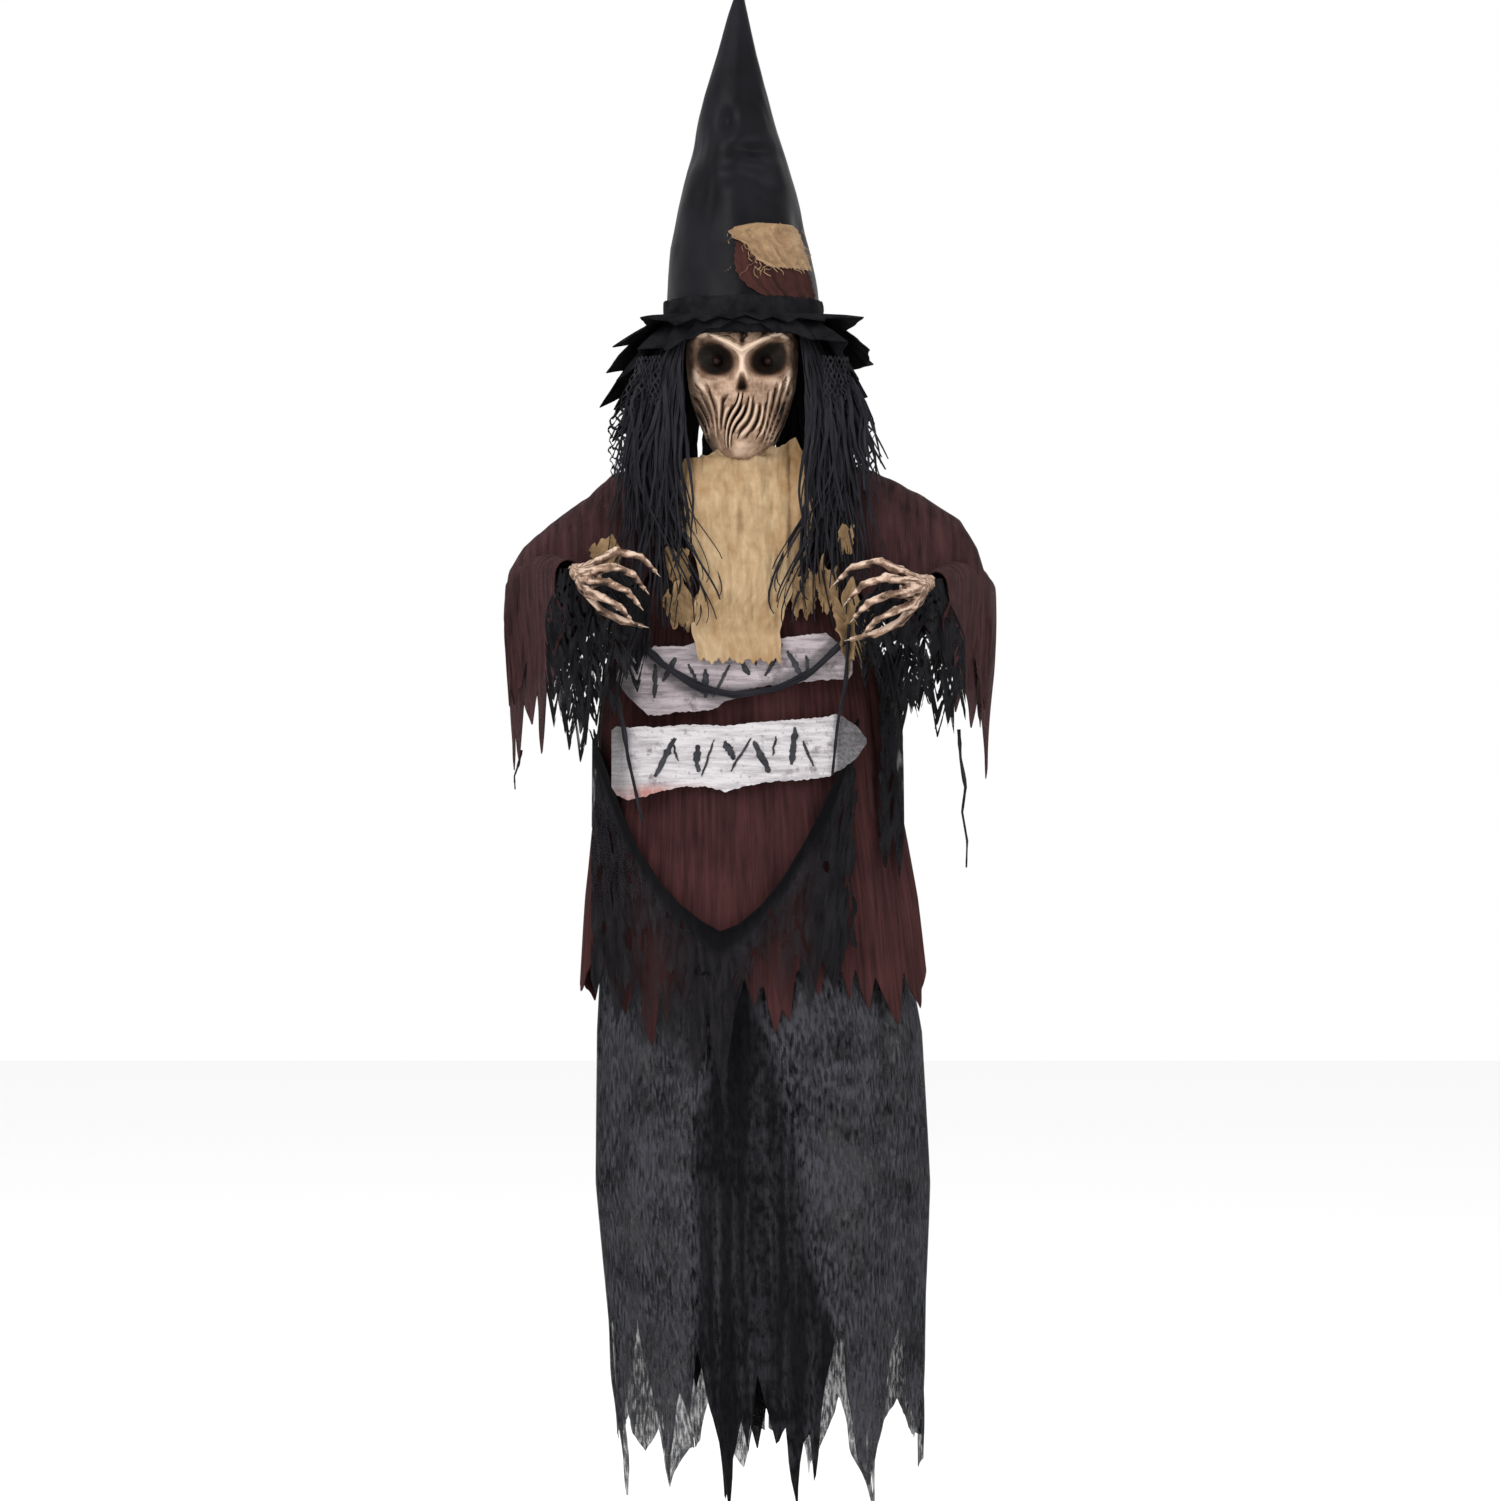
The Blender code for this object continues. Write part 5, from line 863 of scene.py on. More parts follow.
def build_net(side_name, side):
    """Knotted netting at the hair's outer edge, with real diamond holes."""
    def place(u, v):
        inner, outer = side * 0.098, side * lerp(0.128, 0.162, smooth_step(0.0, 0.5, v))
        x = lerp(inner, outer, u) if side > 0 else lerp(outer, inner, u)
        far = abs(x) - 0.09
        z = lerp(-0.455, -0.645 + 0.016 * torn(u, 0.3, 0.4), v)
        y = -0.088 + 0.75 * far + 0.010 * rough(u * 6.0, v * 5.0, 0.0, side)
        return Vector((x + 0.004 * rough(u * 4.0, v * 9.0, 0.0, 2.0 + side), y, z))

    def keep(u, v):
        first = (u * 7.5 + v * 15.0) % 1.0
        second = (u * 7.5 - v * 15.0) % 1.0
        wear_wash_and_shade = rough(u * 5.0, v * 9.0, 0.0, 7.0 + side)
        size = 0.30 + 0.16 * clamp(wear_wash_and_shade + 0.4)
        return max(abs(first - 0.5), abs(second - 0.5)) > size

    bm = cloth_grid(90, 190, place, NET_FLAT, keep=keep)
    net = make_piece(side_name + "_hair_net", bm, hair_gauze, wall=0.0009)
    declare_cloth(net, NET_FLAT)
    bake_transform(net)


# ---- Bib and scraps ----

# Each row of the bib: height, left edge, right edge
BIB_ROWS = millimetres(
    3, -548, -62, 64, -570, -70, 74, -605, -76, 84, -665, -74, 84, -706, -54, 72, -735, -50, 62,
    -763, -62, 51, -787, -59, 47, -824, -52, 46)
BIB_FLAT = (0.17, 0.285)
# Each crease: depth, sideways place, lean, height, half width, and its window of heights
BIB_CREASES = (
    (0.0060, -0.002, 0.02, -0.66, 0.0032, -0.70, -0.66, -0.65, -0.62),
    (0.0055, 0.058, 0.00, -0.66, 0.0035, -0.76, -0.72, -0.59, -0.56),
    (0.0045, -0.010, 0.50, -0.75, 0.0045, -0.78, -0.765, -0.745, -0.725),
)


def bib_point(u, v):
    z = lerp(BIB_ROWS[0][0], BIB_ROWS[-1][0], v)
    left, right = down(BIB_ROWS, z)
    ragged = 0.010 * (torn(u, 0.17, 0.6) - 0.5) * smooth_step(0.9, 1.0, v)
    dip = 0.018 * (1.0 - abs(2.0 * u - 1.0) ** 2.0) + 0.007 * torn(u, 0.23, 0.2)
    ragged -= (dip + 0.024 * smooth_step(0.30, 0.0, u)) * smooth_step(0.12, 0.0, v)
    x = lerp(left, right, u) + 0.0025 * rough(0.0, z * 60.0, 0.0, 4.0)
    gather = 1.0 + 0.8 * smooth_step(-0.66, -0.58, z)
    folds = 0.0085 * rough(x * 52.0 + 2.0 * z, z * 4.0, 0.0, 2.0)
    folds += 0.0030 * gather * rough(x * 110.0, z * 16.0, 0.0, 6.0)
    folds += 0.0016 * gather * rough(x * 260.0, z * 60.0, 0.0, 8.0)
    for depth, side, lean, height, half, *reach in BIB_CREASES:
        folds -= depth * hump(x - side + lean * (z - height), half) * window(z, *reach)
    y = (lerp(-0.062, -0.0990, smooth_step(-0.555, -0.620, z))
         - 0.0055 * smooth_step(-0.70, -0.77, z))
    y += 4.2 * x * x * smooth_step(-0.64, -0.56, z) - 0.0225 * smooth_step(-0.772, -0.796, z)
    folds *= 1.0 - 0.6 * smooth_step(-0.765, -0.796, z)
    return Vector((x, y - folds, z + ragged))


def build_bib():
    bm = cloth_grid(130, 150, bib_point, BIB_FLAT)
    bib = make_piece("tan_bib", bm, bib_cloth, wall=0.0012)
    fit(bib, "frame", "cream_cloth", "bib")
    declare_cloth(bib, BIB_FLAT)


# Tan scraps that hang beside the bib: name, left, right, top, bottom, depth, lean
SCRAPS = (
    ("left_outer", -0.184, -0.148, -0.668, -0.716, -0.104, 0.10),
    ("left_inner", -0.094, -0.066, -0.674, -0.740, -0.104, 0.15),
    ("left_lower", -0.098, -0.058, -0.716, -0.792, -0.106, 0.10),
    ("right_inner", 0.060, 0.088, -0.700, -0.778, -0.104, 0.02),
    ("right_middle", 0.088, 0.114, -0.692, -0.776, -0.106, 0.05),
    ("right_long", 0.102, 0.146, -0.716, -0.846, -0.118, 0.12),
    ("right_outer", 0.118, 0.138, -0.650, -0.700, -0.108, -0.05),
)


def build_scrap(name, left, right, top, bottom, depth, lean, seed):
    flat = (right - left, top - bottom)

    def place(u, v):
        low = bottom + 0.30 * flat[1] * torn(u, 0.55, seed * 0.37)
        high = (top - 0.35 * flat[1] * torn(u, 0.8, seed * 0.61)
                - 0.20 * flat[1] * abs(2.0 * u - 1.0) ** 2)
        z = lerp(high, low, v)
        narrow = 1.0 - 0.45 * v ** 2
        ragged = 0.12 * flat[0] * (torn(v, 0.3, seed + u) - 0.5)
        x = lerp(left, right, 0.5 + (u - 0.5) * narrow) + lean * (top - z) + ragged
        x += 0.006 * rough(u * 3, z * 30.0, 0, seed)
        return Vector((x, depth - 0.008 * rough(x * 90.0, z * 26.0, 0.0, seed), z))

    bm = cloth_grid(26, 44, place, flat)
    scrap = make_piece(name + "_tan_scrap", bm, scrap_cloth, wall=0.0008)
    fit(scrap, "frame", "burlap")
    declare_cloth(scrap, flat)


# ---- Robe and skirt ----

SQUARENESS = 2.5
# Each ring of cloth: height, sideways place, half width, front depth, back depth
ROBE_RINGS = millimetres(
    5, -600, 0, 100, 74, 84, -630, 0, 112, 83, 94, -700, 0, 118, 86, 96, -765, 2, 158, 93, 103,
    -870, 4, 176, 98, 108, -1000, 8, 186, 102, 114, -1110, 12, 200, 106, 118,
    -1250, 16, 212, 112, 124)
SKIRT_RINGS = millimetres(
    5, -985, 8, 168, 92, 102, -1120, 14, 180, 95, 107, -1210, 18, 190, 99, 111,
    -1275, 22, 197, 101, 113, -1460, 26, 201, 105, 117, -1630, 31, 191, 107, 119,
    -1780, 32, 184, 107, 119, -1850, 34, 182, 106, 118)


def ring_point(rings, turn, z, out):
    """A point on the cloth's outline at this height. turn is in radians from the front."""
    side, half, front, back = down(rings, z)
    across, facing = math.sin(turn), math.cos(turn)
    power = 2.0 / SQUARENESS
    x = math.copysign(abs(across) ** power, across)
    y = math.copysign(abs(facing) ** power, facing)
    depth = front if facing > 0 else back
    return Vector((side + (half + out) * x, -(depth + out) * y, z))


def even_turn(u):
    """The angle of a column, in radians from the front."""
    return (2.0 * u - 1.0) * math.pi


# Hems: sideways place and height of each torn point and notch, front and then back
ROBE_HEM_FRONT = millimetres(
    2, -200, -1175, -186, -1222, -172, -1160, -160, -1205, -148, -1225, -138, -1248, -126, -1200,
    -116, -1262, -104, -1288, -96, -1216, -86, -1262, -76, -1205, -68, -1240, -58, -1196,
    -44, -1178, -30, -1190, -18, -1178, -10, -1225, 0, -1200, 12, -1240, 22, -1205, 36, -1275,
    44, -1238, 54, -1258, 62, -1200, 74, -1176, 86, -1226, 96, -1190, 108, -1176, 122, -1232,
    132, -1190, 146, -1246, 156, -1205, 168, -1240, 180, -1262, 190, -1200, 202, -1244,
    216, -1180, 232, -1170)
ROBE_HEM_BACK = millimetres(
    2, -200, -1175, -180, -1240, -160, -1170, -135, -1255, -115, -1185, -90, -1235, -70, -1160,
    -45, -1262, -20, -1180, 5, -1240, 30, -1165, 60, -1250, 85, -1190, 110, -1265, 140, -1175,
    165, -1240, 190, -1180, 232, -1170)
SKIRT_HEM_FRONT = millimetres(
    2, -170, -1640, -158, -1690, -152, -1625, -146, -1735, -141, -1840, -136, -1720, -128, -1650,
    -120, -1610, -112, -1665, -102, -1700, -94, -1760, -88, -1812, -81, -1745, -72, -1700,
    -62, -1735, -50, -1645, -40, -1690, -31, -1735, -24, -1790, -19, -1846, -12, -1776, 0, -1735,
    8, -1770, 20, -1680, 30, -1720, 42, -1765, 50, -1742, 58, -1800, 64, -1846, 71, -1760,
    78, -1745, 86, -1815, 93, -1735, 103, -1670, 114, -1615, 124, -1690, 134, -1735, 144, -1800,
    154, -1846, 162, -1775, 172, -1700, 184, -1625, 196, -1680, 206, -1730, 213, -1780,
    222, -1846, 228, -1740, 236, -1660)
SKIRT_HEM_BACK = millimetres(
    2, -170, -1736, -158, -1781, -140, -1748, -118, -1801, -104, -1776, -90, -1848, -70, -1804,
    -52, -1796, -36, -1736, -20, -1796, 0, -1831, 18, -1771, 44, -1788, 62, -1748, 80, -1836,
    104, -1774, 120, -1736, 136, -1806, 150, -1848, 170, -1778, 190, -1736, 208, -1778,
    236, -1736)


def hem_at(front, back, turn, x):
    rows = front if math.cos(turn) > 0 else back
    return along(rows, x)[0]


def build_robe():
    flat = (1.16, 0.69)
    top = ROBE_RINGS[0][0]

    def hem(u):
        turn = even_turn(u)
        x = ring_point(ROBE_RINGS, turn, -1.15, 0.0).x
        return (hem_at(ROBE_HEM_FRONT, ROBE_HEM_BACK, turn, x)
                + 0.006 * rough(u * 90.0, 0.0, 0.0, 1.0))

    def place(u, v):
        turn = even_turn(u)
        z = lerp(top, hem(u), v)
        grow = smooth_step(-0.70, -1.15, z)
        out = (0.0035 + 0.0055 * grow) * rough(u * 30.0, z * 2.2, 0.0, 3.0)
        out += 0.0022 * rough(u * 84.0, z * 6.0, 0.0, 5.0) + 0.0015 * grow
        return ring_point(ROBE_RINGS, turn, z, out)

    def keep(u, v):
        turn = math.degrees(even_turn(u))
        z = lerp(top, hem(u), v)
        slit = abs(abs(turn) - 180.0) < 24.0 and -0.800 < z < -0.700
        return not slit

    bm = cloth_grid(520, 90, place, flat, keep=keep, cut=lambda u: (top - hem(u)) / flat[1],
                    close=True)
    robe = make_piece("maroon_robe", bm, robe_cloth, wall=0.0014)
    fit(robe, "frame", "maroon_cloth", "robe_body")
    declare_cloth(robe, flat)


def mark_cover(obj, cover):
    """How much more closely the gauze covers at each vertex, as the cover attribute."""
    layer = obj.data.attributes.new("cover", "FLOAT", "POINT")
    for vert, item in zip(obj.data.vertices, layer.data):
        item.value = cover(vert.co)


def build_skirt():
    flat = (1.16, 0.87)
    top = SKIRT_RINGS[0][0]

    def hem(u):
        turn = even_turn(u)
        x = ring_point(SKIRT_RINGS, turn, -1.78, 0.0).x
        return (hem_at(SKIRT_HEM_FRONT, SKIRT_HEM_BACK, turn, x)
                + 0.006 * rough(u * 120.0, 0.0, 0.0, 1.0))

    def place(u, v):
        turn = even_turn(u)
        z = lerp(top, hem(u), v)
        grow = smooth_step(-0.98, -1.5, z)
        loose = smooth_step(-1.62, -1.84, z)
        out = (0.003 + 0.007 * grow) * rough(u * 26.0, z * 1.3, 0.0, 11.0)
        out += (0.002 + 0.002 * grow) * rough(u * 76.0, z * 2.5, 0.0, 12.0)
        point = ring_point(SKIRT_RINGS, turn, z, out)
        point.x += 0.010 * loose * rough(u * 20.0, z * 12.0, 0.0, 13.0)
        point.y += 0.012 * loose * rough(u * 24.0, z * 10.0, 0.0, 14.0)
        return point

    def keep(u, v):
        z = lerp(top, hem(u), v)
        low = smooth_step(-1.62, -1.82, z)
        hole = rough(u * 210.0, z * 22.0, 0.0, 21.0)
        return hole < 0.98 - 0.42 * low

    bm = cloth_grid(560, 130, place, flat, keep=keep, cut=lambda u: (top - hem(u)) / flat[1],
                    close=True)
    skirt = make_piece("gauze_skirt", bm, skirt_cloth, wall=0.0008)

    def cover(co):
        uneven = 0.12 * rough(co.x * 34.0, co.y * 34.0, co.z * 5.0, 2.0)
        thin = 0.14 * smooth_step(-1.66, -1.82, co.z)
        low = smooth_step(-1.18, -1.48, co.z)
        side = lerp(-0.002, 0.004, low) + 0.026 * smooth_step(-1.50, -1.68, co.z)
        middle = abs(co.x - side + 0.018 * rough(co.x * 20.0, co.z * 6.0, 0.0, 4.0))
        wide = lerp(0.030, 0.074, low) + 0.024 * smooth_step(-1.50, -1.68, co.z)
        shaded = 1.05 * smooth_step(wide, wide - 0.026, middle) * (1.0 if co.y < 0.0 else 0.0)
        shaded *= 0.85 + 0.5 * rough(co.x * 120.0, co.z * 6.0, 0.0, 5.0)
        return uneven - thin + shaded

    mark_cover(skirt, cover)
    fit(skirt, "frame", "grey_gauze", "skirt_gauze")
    declare_cloth(skirt, flat)


PANEL_HEM = millimetres(
    2, -66, -1640, -54, -1700, -44, -1660, -30, -1745, -20, -1838, -12, -1760, 4, -1715,
    18, -1775, 30, -1720, 44, -1765, 56, -1700, 72, -1640)


def build_panel():
    flat = (0.150, 0.85)
    top = -0.986

    def edge(u):
        return lerp(-0.062, 0.070, u)

    def place(u, v):
        x = edge(u)
        z = lerp(top, along(PANEL_HEM, x)[0], v)
        fold = (0.007 * rough(x * 60.0, z * 2.2, 0.0, 31.0)
                + 0.002 * rough(x * 160.0, z * 5.0, 0.0, 32.0))
        side = 0.005 * rough(u * 2.0, z * 9.0, 0.0, 33.0)
        return Vector((x + side, -0.074 - fold, z))

    bm = cloth_grid(90, 150, place, flat,
                    cut=lambda u: (top - along(PANEL_HEM, edge(u))[0]) / flat[1])
    panel = make_piece("black_inner_panel", bm, panel_cloth, wall=0.0011)
    fit(panel, "frame", "black_cloth", "inner_panel")
    declare_cloth(panel, flat)


# Upper edge of the swag, and its hem below: sideways place and height
SWAG_TOP = millimetres(
    2, -190, -900, -172, -930, -158, -966, -140, -1015, -122, -1052, -98, -1088, -74, -1114,
    -48, -1134, -26, -1146, -4, -1138, 22, -1116, 48, -1084, 70, -1048, 92, -1008, 112, -964,
    128, -914, 142, -866, 160, -824, 198, -800)
SWAG_HEM = millimetres(
    2, -190, -1180, -176, -1226, -164, -1180, -150, -1262, -136, -1205, -118, -1290, -104, -1220,
    -86, -1300, -72, -1240, -56, -1330, -40, -1270, -22, -1360, -10, -1250, 4, -1200, 16, -1250,
    30, -1180, 48, -1240, 66, -1170, 80, -1250, 96, -1180, 110, -1220, 126, -1160, 142, -1170,
    158, -1010, 172, -1075, 182, -1030, 190, -1085, 198, -1020)


def build_swag():
    flat = (0.46, 0.40)

    def edge(u):
        return lerp(-0.182, 0.196, u)

    def surface(x, z, out):
        side, half, front, _ = down(ROBE_RINGS, z)
        share = clamp(abs(x - side) / (half + 0.010), 0.0, 0.999)
        depth = (front + out) * (1.0 - share ** SQUARENESS) ** (1.0 / SQUARENESS)
        return Vector((x, -depth, z))

    def place(u, v):
        x = edge(u)
        z = lerp(along(SWAG_TOP, x)[0], along(SWAG_HEM, x)[0], v ** 1.25)
        roll = 0.007 * math.exp(-(v / 0.06) ** 2)
        fold = (0.0035 * rough(x * 42.0, z * 12.0, 0.0, 41.0)
                + 0.0016 * rough(x * 120.0, z * 50.0, 0.0, 42.0))
        return surface(x, z, 0.0165 + roll + fold)

    def keep(u, v):
        x = edge(u)
        gap_left = 0.136 + 0.008 * rough(0.0, v * 12.0, 0.0, 44.0)
        gap_right = 0.166 + 0.006 * rough(0.0, v * 16.0, 0.0, 45.0)
        if gap_left < x < gap_right:
            return False
        return v < 0.12 or rough(x * 95.0, v * 8.0, 0.0, 43.0) < 0.52 - 0.1 * v

    def cut(u):
        x = edge(u)
        return clamp((along(SWAG_TOP, x)[0] - along(SWAG_HEM, x)[0]) / flat[1])

    bm = cloth_grid(260, 90, place, flat, keep=keep, cut=cut)
    swag = make_piece("black_gauze_swag", bm, swag_gauze, wall=0.0009)

    def cover(co):
        band = 0.85 * smooth_step(0.040, 0.012, along(SWAG_TOP, co.x)[0] - co.z)
        fall = 0.50 * math.exp(-((co.x + 0.030) / 0.026) ** 2) * smooth_step(-1.12, -1.18, co.z)
        right = 0.55 * smooth_step(0.070, 0.110, co.x)
        left = 0.35 * smooth_step(-0.118, -0.155, co.x)
        low = smooth_step(0.045, 0.075, along(SWAG_TOP, co.x)[0] - co.z)
        bare_and_highlight = (0.34 * math.exp(-((co.x - 0.032) / 0.030) ** 2)
                + 0.26 * math.exp(-((co.x + 0.110) / 0.020) ** 2))
        return band + fall + right + left - low * bare_and_highlight

    mark_cover(swag, cover)
    fit(swag, "frame", "black_gauze", "gauze_swag")
    declare_cloth(swag, flat)


# ---- Boards ----

# Outlines: sideways place, bottom edge, top edge
UPPER_BOARD = millimetres(
    3, -151, -846, -840, -142, -860, -826, -130, -872, -812, -112, -888, -812, -104, -889, -806,
    -70, -884, -806, -52, -884, -801, -30, -880, -800, -22, -872, -800, 0, -866, -798,
    10, -856, -800, 50, -851, -796, 80, -848, -792, 100, -846, -790, 112, -846, -800,
    128, -844, -806, 132, -838, -812)
LOWER_BOARD = millimetres(
    3, -156, -974, -906, -150, -984, -902, -136, -990, -903, -118, -986, -902, -100, -980, -903,
    -70, -974, -900, -40, -974, -900, -20, -980, -901, 0, -974, -899, 30, -968, -896,
    70, -966, -893, 104, -962, -890, 112, -956, -886, 124, -950, -892, 138, -938, -902,
    149, -922, -916)
BOARD_Y = -0.1125
BOARD_BOW = 0.28
UPPER_SEED, LOWER_SEED = 91.0, 95.0
STROKE_STEPS = 14
STROKE_OUT = 0.0024  # how far the paint stands before the board


def board_face(rows, seed):
    """A function from u, v to a point on the board, torn at its edges."""
    def place(u, v):
        x = lerp(rows[0][0], rows[-1][0], u)
        bottom, top = along(rows, x)
        bottom += 0.0016 * rough(x * 260.0, 0.0, 0.0, seed)
        top += 0.0014 * rough(x * 230.0, 1.0, 0.0, seed)
        z = lerp(top, bottom, v)
        warp = 0.0016 * rough(x * 16.0, z * 16.0, 0.0, seed)
        return Vector((x, BOARD_Y + BOARD_BOW * (x * x - 0.008) + warp, z))

    return place


def build_board(name, rows, material, node, seed, stain, veil):
    place = board_face(rows, seed)
    bm = cloth_grid(210, 46, place, (0.30, 0.09))
    stain_layer = bm.verts.layers.float.new("stain")
    dark_ends_and_shadow_layer = bm.verts.layers.float.new("veil")
    for vert in bm.verts:
        vert[stain_layer] = stain(vert.co)
        vert[dark_ends_and_shadow_layer] = veil(vert.co)
    sign = make_piece(name, bm, material, wall=0.0035, smooth=False)
    fit(sign, "frame", "weathered_board", node)


def upper_shade(co):
    """The gauze shadow that hangs in a curve over the upper board."""
    return smooth_step(0.016, 0.006, abs(co.z + 0.866 - 4.4 * (co.x + 0.010) ** 2))


def build_strokes(name, rows, seed, spans):
    """Plain irregular brush strokes, loose dabs that spell nothing."""
    source = random.Random(seed)
    face = board_face(rows, seed)
    bm = bmesh.new()
    for x, tilt, length, width, middle in spans:
        bottom, top = along(rows, x)
        centre = lerp(bottom, top, middle)
        points, widths, across = [], [], []
        for step in range(STROKE_STEPS + 1):
            share = step / STROKE_STEPS - 0.5
            px = x + tilt * share * length + 0.0016 * rough(share * 5.0, x * 90.0, 0.0, seed)
            pz = centre + share * length
            u = (px - rows[0][0]) / (rows[-1][0] - rows[0][0])
            point = face(clamp(u), 0.5)
            points.append(Vector((px, point.y - STROKE_OUT, pz)))
            ragged = 0.75 + 0.5 * rough(share * 16.0, x * 70.0, 0.0, seed + 1)
            widths.append(width * ragged * (1.0 - 0.55 * abs(share * 2.0) ** 3))
            across.append(Vector((1.0, 0.0, -tilt * 0.8)))
        add_ribbon(bm, points, widths, across, source.random(), rows=3)
    strokes = make_piece(name, bm, brush_paint, wall=0.0005)
    fit(strokes, "frame", "black_paint")


# ---- Sleeves ----

SIDE_SIGN = {"left": -1.0, "right": 1.0}
# Top line of each shoulder cape: share from neck to elbow, sideways place, height
CAPE_TOP = {
    "left": ((0.0, 0.05, -0.572), (0.24, 0.112, -0.578), (0.42, 0.158, -0.594),
             (0.56, 0.19, -0.622), (0.72, 0.234, -0.654), (0.86, 0.266, -0.684),
             (0.95, 0.284, -0.712), (1.0, 0.288, -0.74)),
    "right": ((0.0, 0.05, -0.572), (0.24, 0.112, -0.578), (0.42, 0.16, -0.592),
              (0.6, 0.222, -0.622), (0.74, 0.266, -0.652), (0.85, 0.286, -0.684),
              (0.94, 0.297, -0.716), (1.0, 0.302, -0.745)),
}
# How far each cape hangs in front and behind, by share from neck to elbow
CAPE_DROP = ((0.0, 0.11, 0.12), (0.2, 0.15, 0.15), (0.4, 0.19, 0.19), (0.6, 0.185, 0.2),
             (0.8, 0.19, 0.19), (1.0, 0.17, 0.17))
CAPE_FLAT = (0.30, 0.52)
CAPE_OVER = 0.42  # the share of half the cape's width that lies over the shoulder
CAPE_ARCH = 0.045


def quarter_turn(reach, over):
    """The angle of cloth that bends down over an edge as wide as this share of it."""
    return min(reach / over, 1.0) * math.pi / 2.0


def past(reach, start):
    """The share of the way from start to the hem."""
    return max(reach - start, 0.0) / (1.0 - start)


def build_cape(side):
    sign = SIDE_SIGN[side]

    def place(u, v):
        share = u if sign > 0 else 1.0 - u
        x, top = along(CAPE_TOP[side], share)
        front, back = along(CAPE_DROP, share)
        lean = 2.0 * v - 1.0
        depth = lerp(0.062, 0.074, smooth_step(0.0, 0.6, share))
        depth *= 1.0 - 0.25 * smooth_step(0.8, 1.0, share)
        reach = abs(lean)
        bend = quarter_turn(reach, CAPE_OVER)
        arch = CAPE_ARCH * (1.0 - math.cos(bend))
        ragged = 0.050 * torn(share, 0.16, 0.3 + sign + (0.5 if lean > 0 else 0.0))
        length = (back if lean < 0 else front) - ragged
        fall = past(reach, 0.36) * (length - CAPE_ARCH)
        fold = (0.007 * rough(share * 9.0, lean * 1.6, 0.0, 51.0 + sign)
                + 0.003 * rough(share * 26.0, lean * 4.0, 0.0, 53.0))
        flare = 0.018 * max(reach - 0.4, 0.0)
        y = math.copysign(depth * math.sin(bend) + flare + fold * min(reach * 2.5, 1.0), lean)
        z = top - arch - fall + 0.5 * fold
        narrow = 0.012 * max(reach - 0.4, 0.0) * smooth_step(0.7, 1.0, share)
        return Vector((sign * (x - narrow), -y, z))

    bm = cloth_grid(130, 190, place, CAPE_FLAT)
    bmesh.ops.recalc_face_normals(bm, faces=bm.faces)
    cape = make_piece(side + "_shoulder_cape", bm, sleeve_cloth, wall=0.0014)
    declare_cloth(cape, CAPE_FLAT)
    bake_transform(cape)


# Ridge line of each bell sleeve from the elbow to the wrist
BELL_RIDGE = {
    "left": ((0.0, -0.27, 0.036, -0.712), (0.25, -0.262, -0.03, -0.7),
             (0.6, -0.232, -0.11, -0.696), (1.0, -0.204, -0.182, -0.706)),
    "right": ((0.0, 0.29, 0.036, -0.716), (0.25, 0.282, -0.03, -0.706),
              (0.6, 0.252, -0.11, -0.706), (1.0, 0.228, -0.182, -0.718)),
}
# Hem of the outer and the inner side: share from elbow to wrist, height
BELL_HEM = {
    "left": (((0.0, -0.905), (0.1, -0.955), (0.18, -0.9), (0.28, -0.945), (0.36, -0.872),
              (0.46, -0.9), (0.54, -0.86), (0.64, -0.938), (0.72, -0.85), (0.82, -0.87),
              (0.92, -0.8), (1.0, -0.78)),
             ((0.0, -0.84), (0.15, -0.8), (0.3, -0.85), (0.45, -0.79), (0.6, -0.84), (0.8, -0.78),
              (1.0, -0.765))),
    "right": (((0.0, -0.93), (0.1, -0.965), (0.16, -0.9), (0.24, -0.94), (0.34, -0.862),
               (0.44, -0.905), (0.56, -0.85), (0.66, -0.885), (0.76, -0.82), (0.86, -0.84),
               (0.94, -0.795), (1.0, -0.785)),
              ((0.0, -0.84), (0.15, -0.8), (0.3, -0.85), (0.45, -0.79), (0.6, -0.84),
               (0.8, -0.79), (1.0, -0.775))),
}
BELL_FLAT = (0.26, 0.44)
BELL_OVER = 0.30
BELL_ARCH = 0.022


def build_bell(side):
    sign = SIDE_SIGN[side]
    outer_hem, inner_hem = BELL_HEM[side]

    def place(u, v):
        x, y, ridge = along(BELL_RIDGE[side], u)
        lean = 2.0 * v - 1.0
        reach = abs(lean)
        hem = along(outer_hem if lean < 0 else inner_hem, u)[0]
        half = lerp(0.034, 0.026, u) if lean < 0 else lerp(0.040, 0.024, u)
        bend = quarter_turn(reach, BELL_OVER)
        arch = BELL_ARCH * (1.0 - math.cos(bend))
        fall = past(reach, 0.25) * max(ridge - arch - hem, 0.01)
        fold = (0.008 * rough(u * 5.0, lean * 2.2, 0.0, 61.0 + sign)
                + 0.003 * rough(u * 17.0, lean * 5.0, 0.0, 62.0))
        tuck = -0.014 * smooth_step(0.35, 1.0, reach)
        out = math.sin(bend) * half + tuck + fold * min(reach * 2.0, 1.0)
        out *= -1.0 if lean < 0 else 1.0
        return Vector((x - sign * 0.62 * out, y + 0.14 * out, ridge - arch - fall + 0.4 * fold))

    bm = cloth_grid(110, 170, place, BELL_FLAT)
    bmesh.ops.recalc_face_normals(bm, faces=bm.faces)
    bell = make_piece(side + "_bell_sleeve", bm, sleeve_cloth, wall=0.0013)
    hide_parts(side + "_sleeve")
    declare_cloth(bell, BELL_FLAT)
    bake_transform(bell)


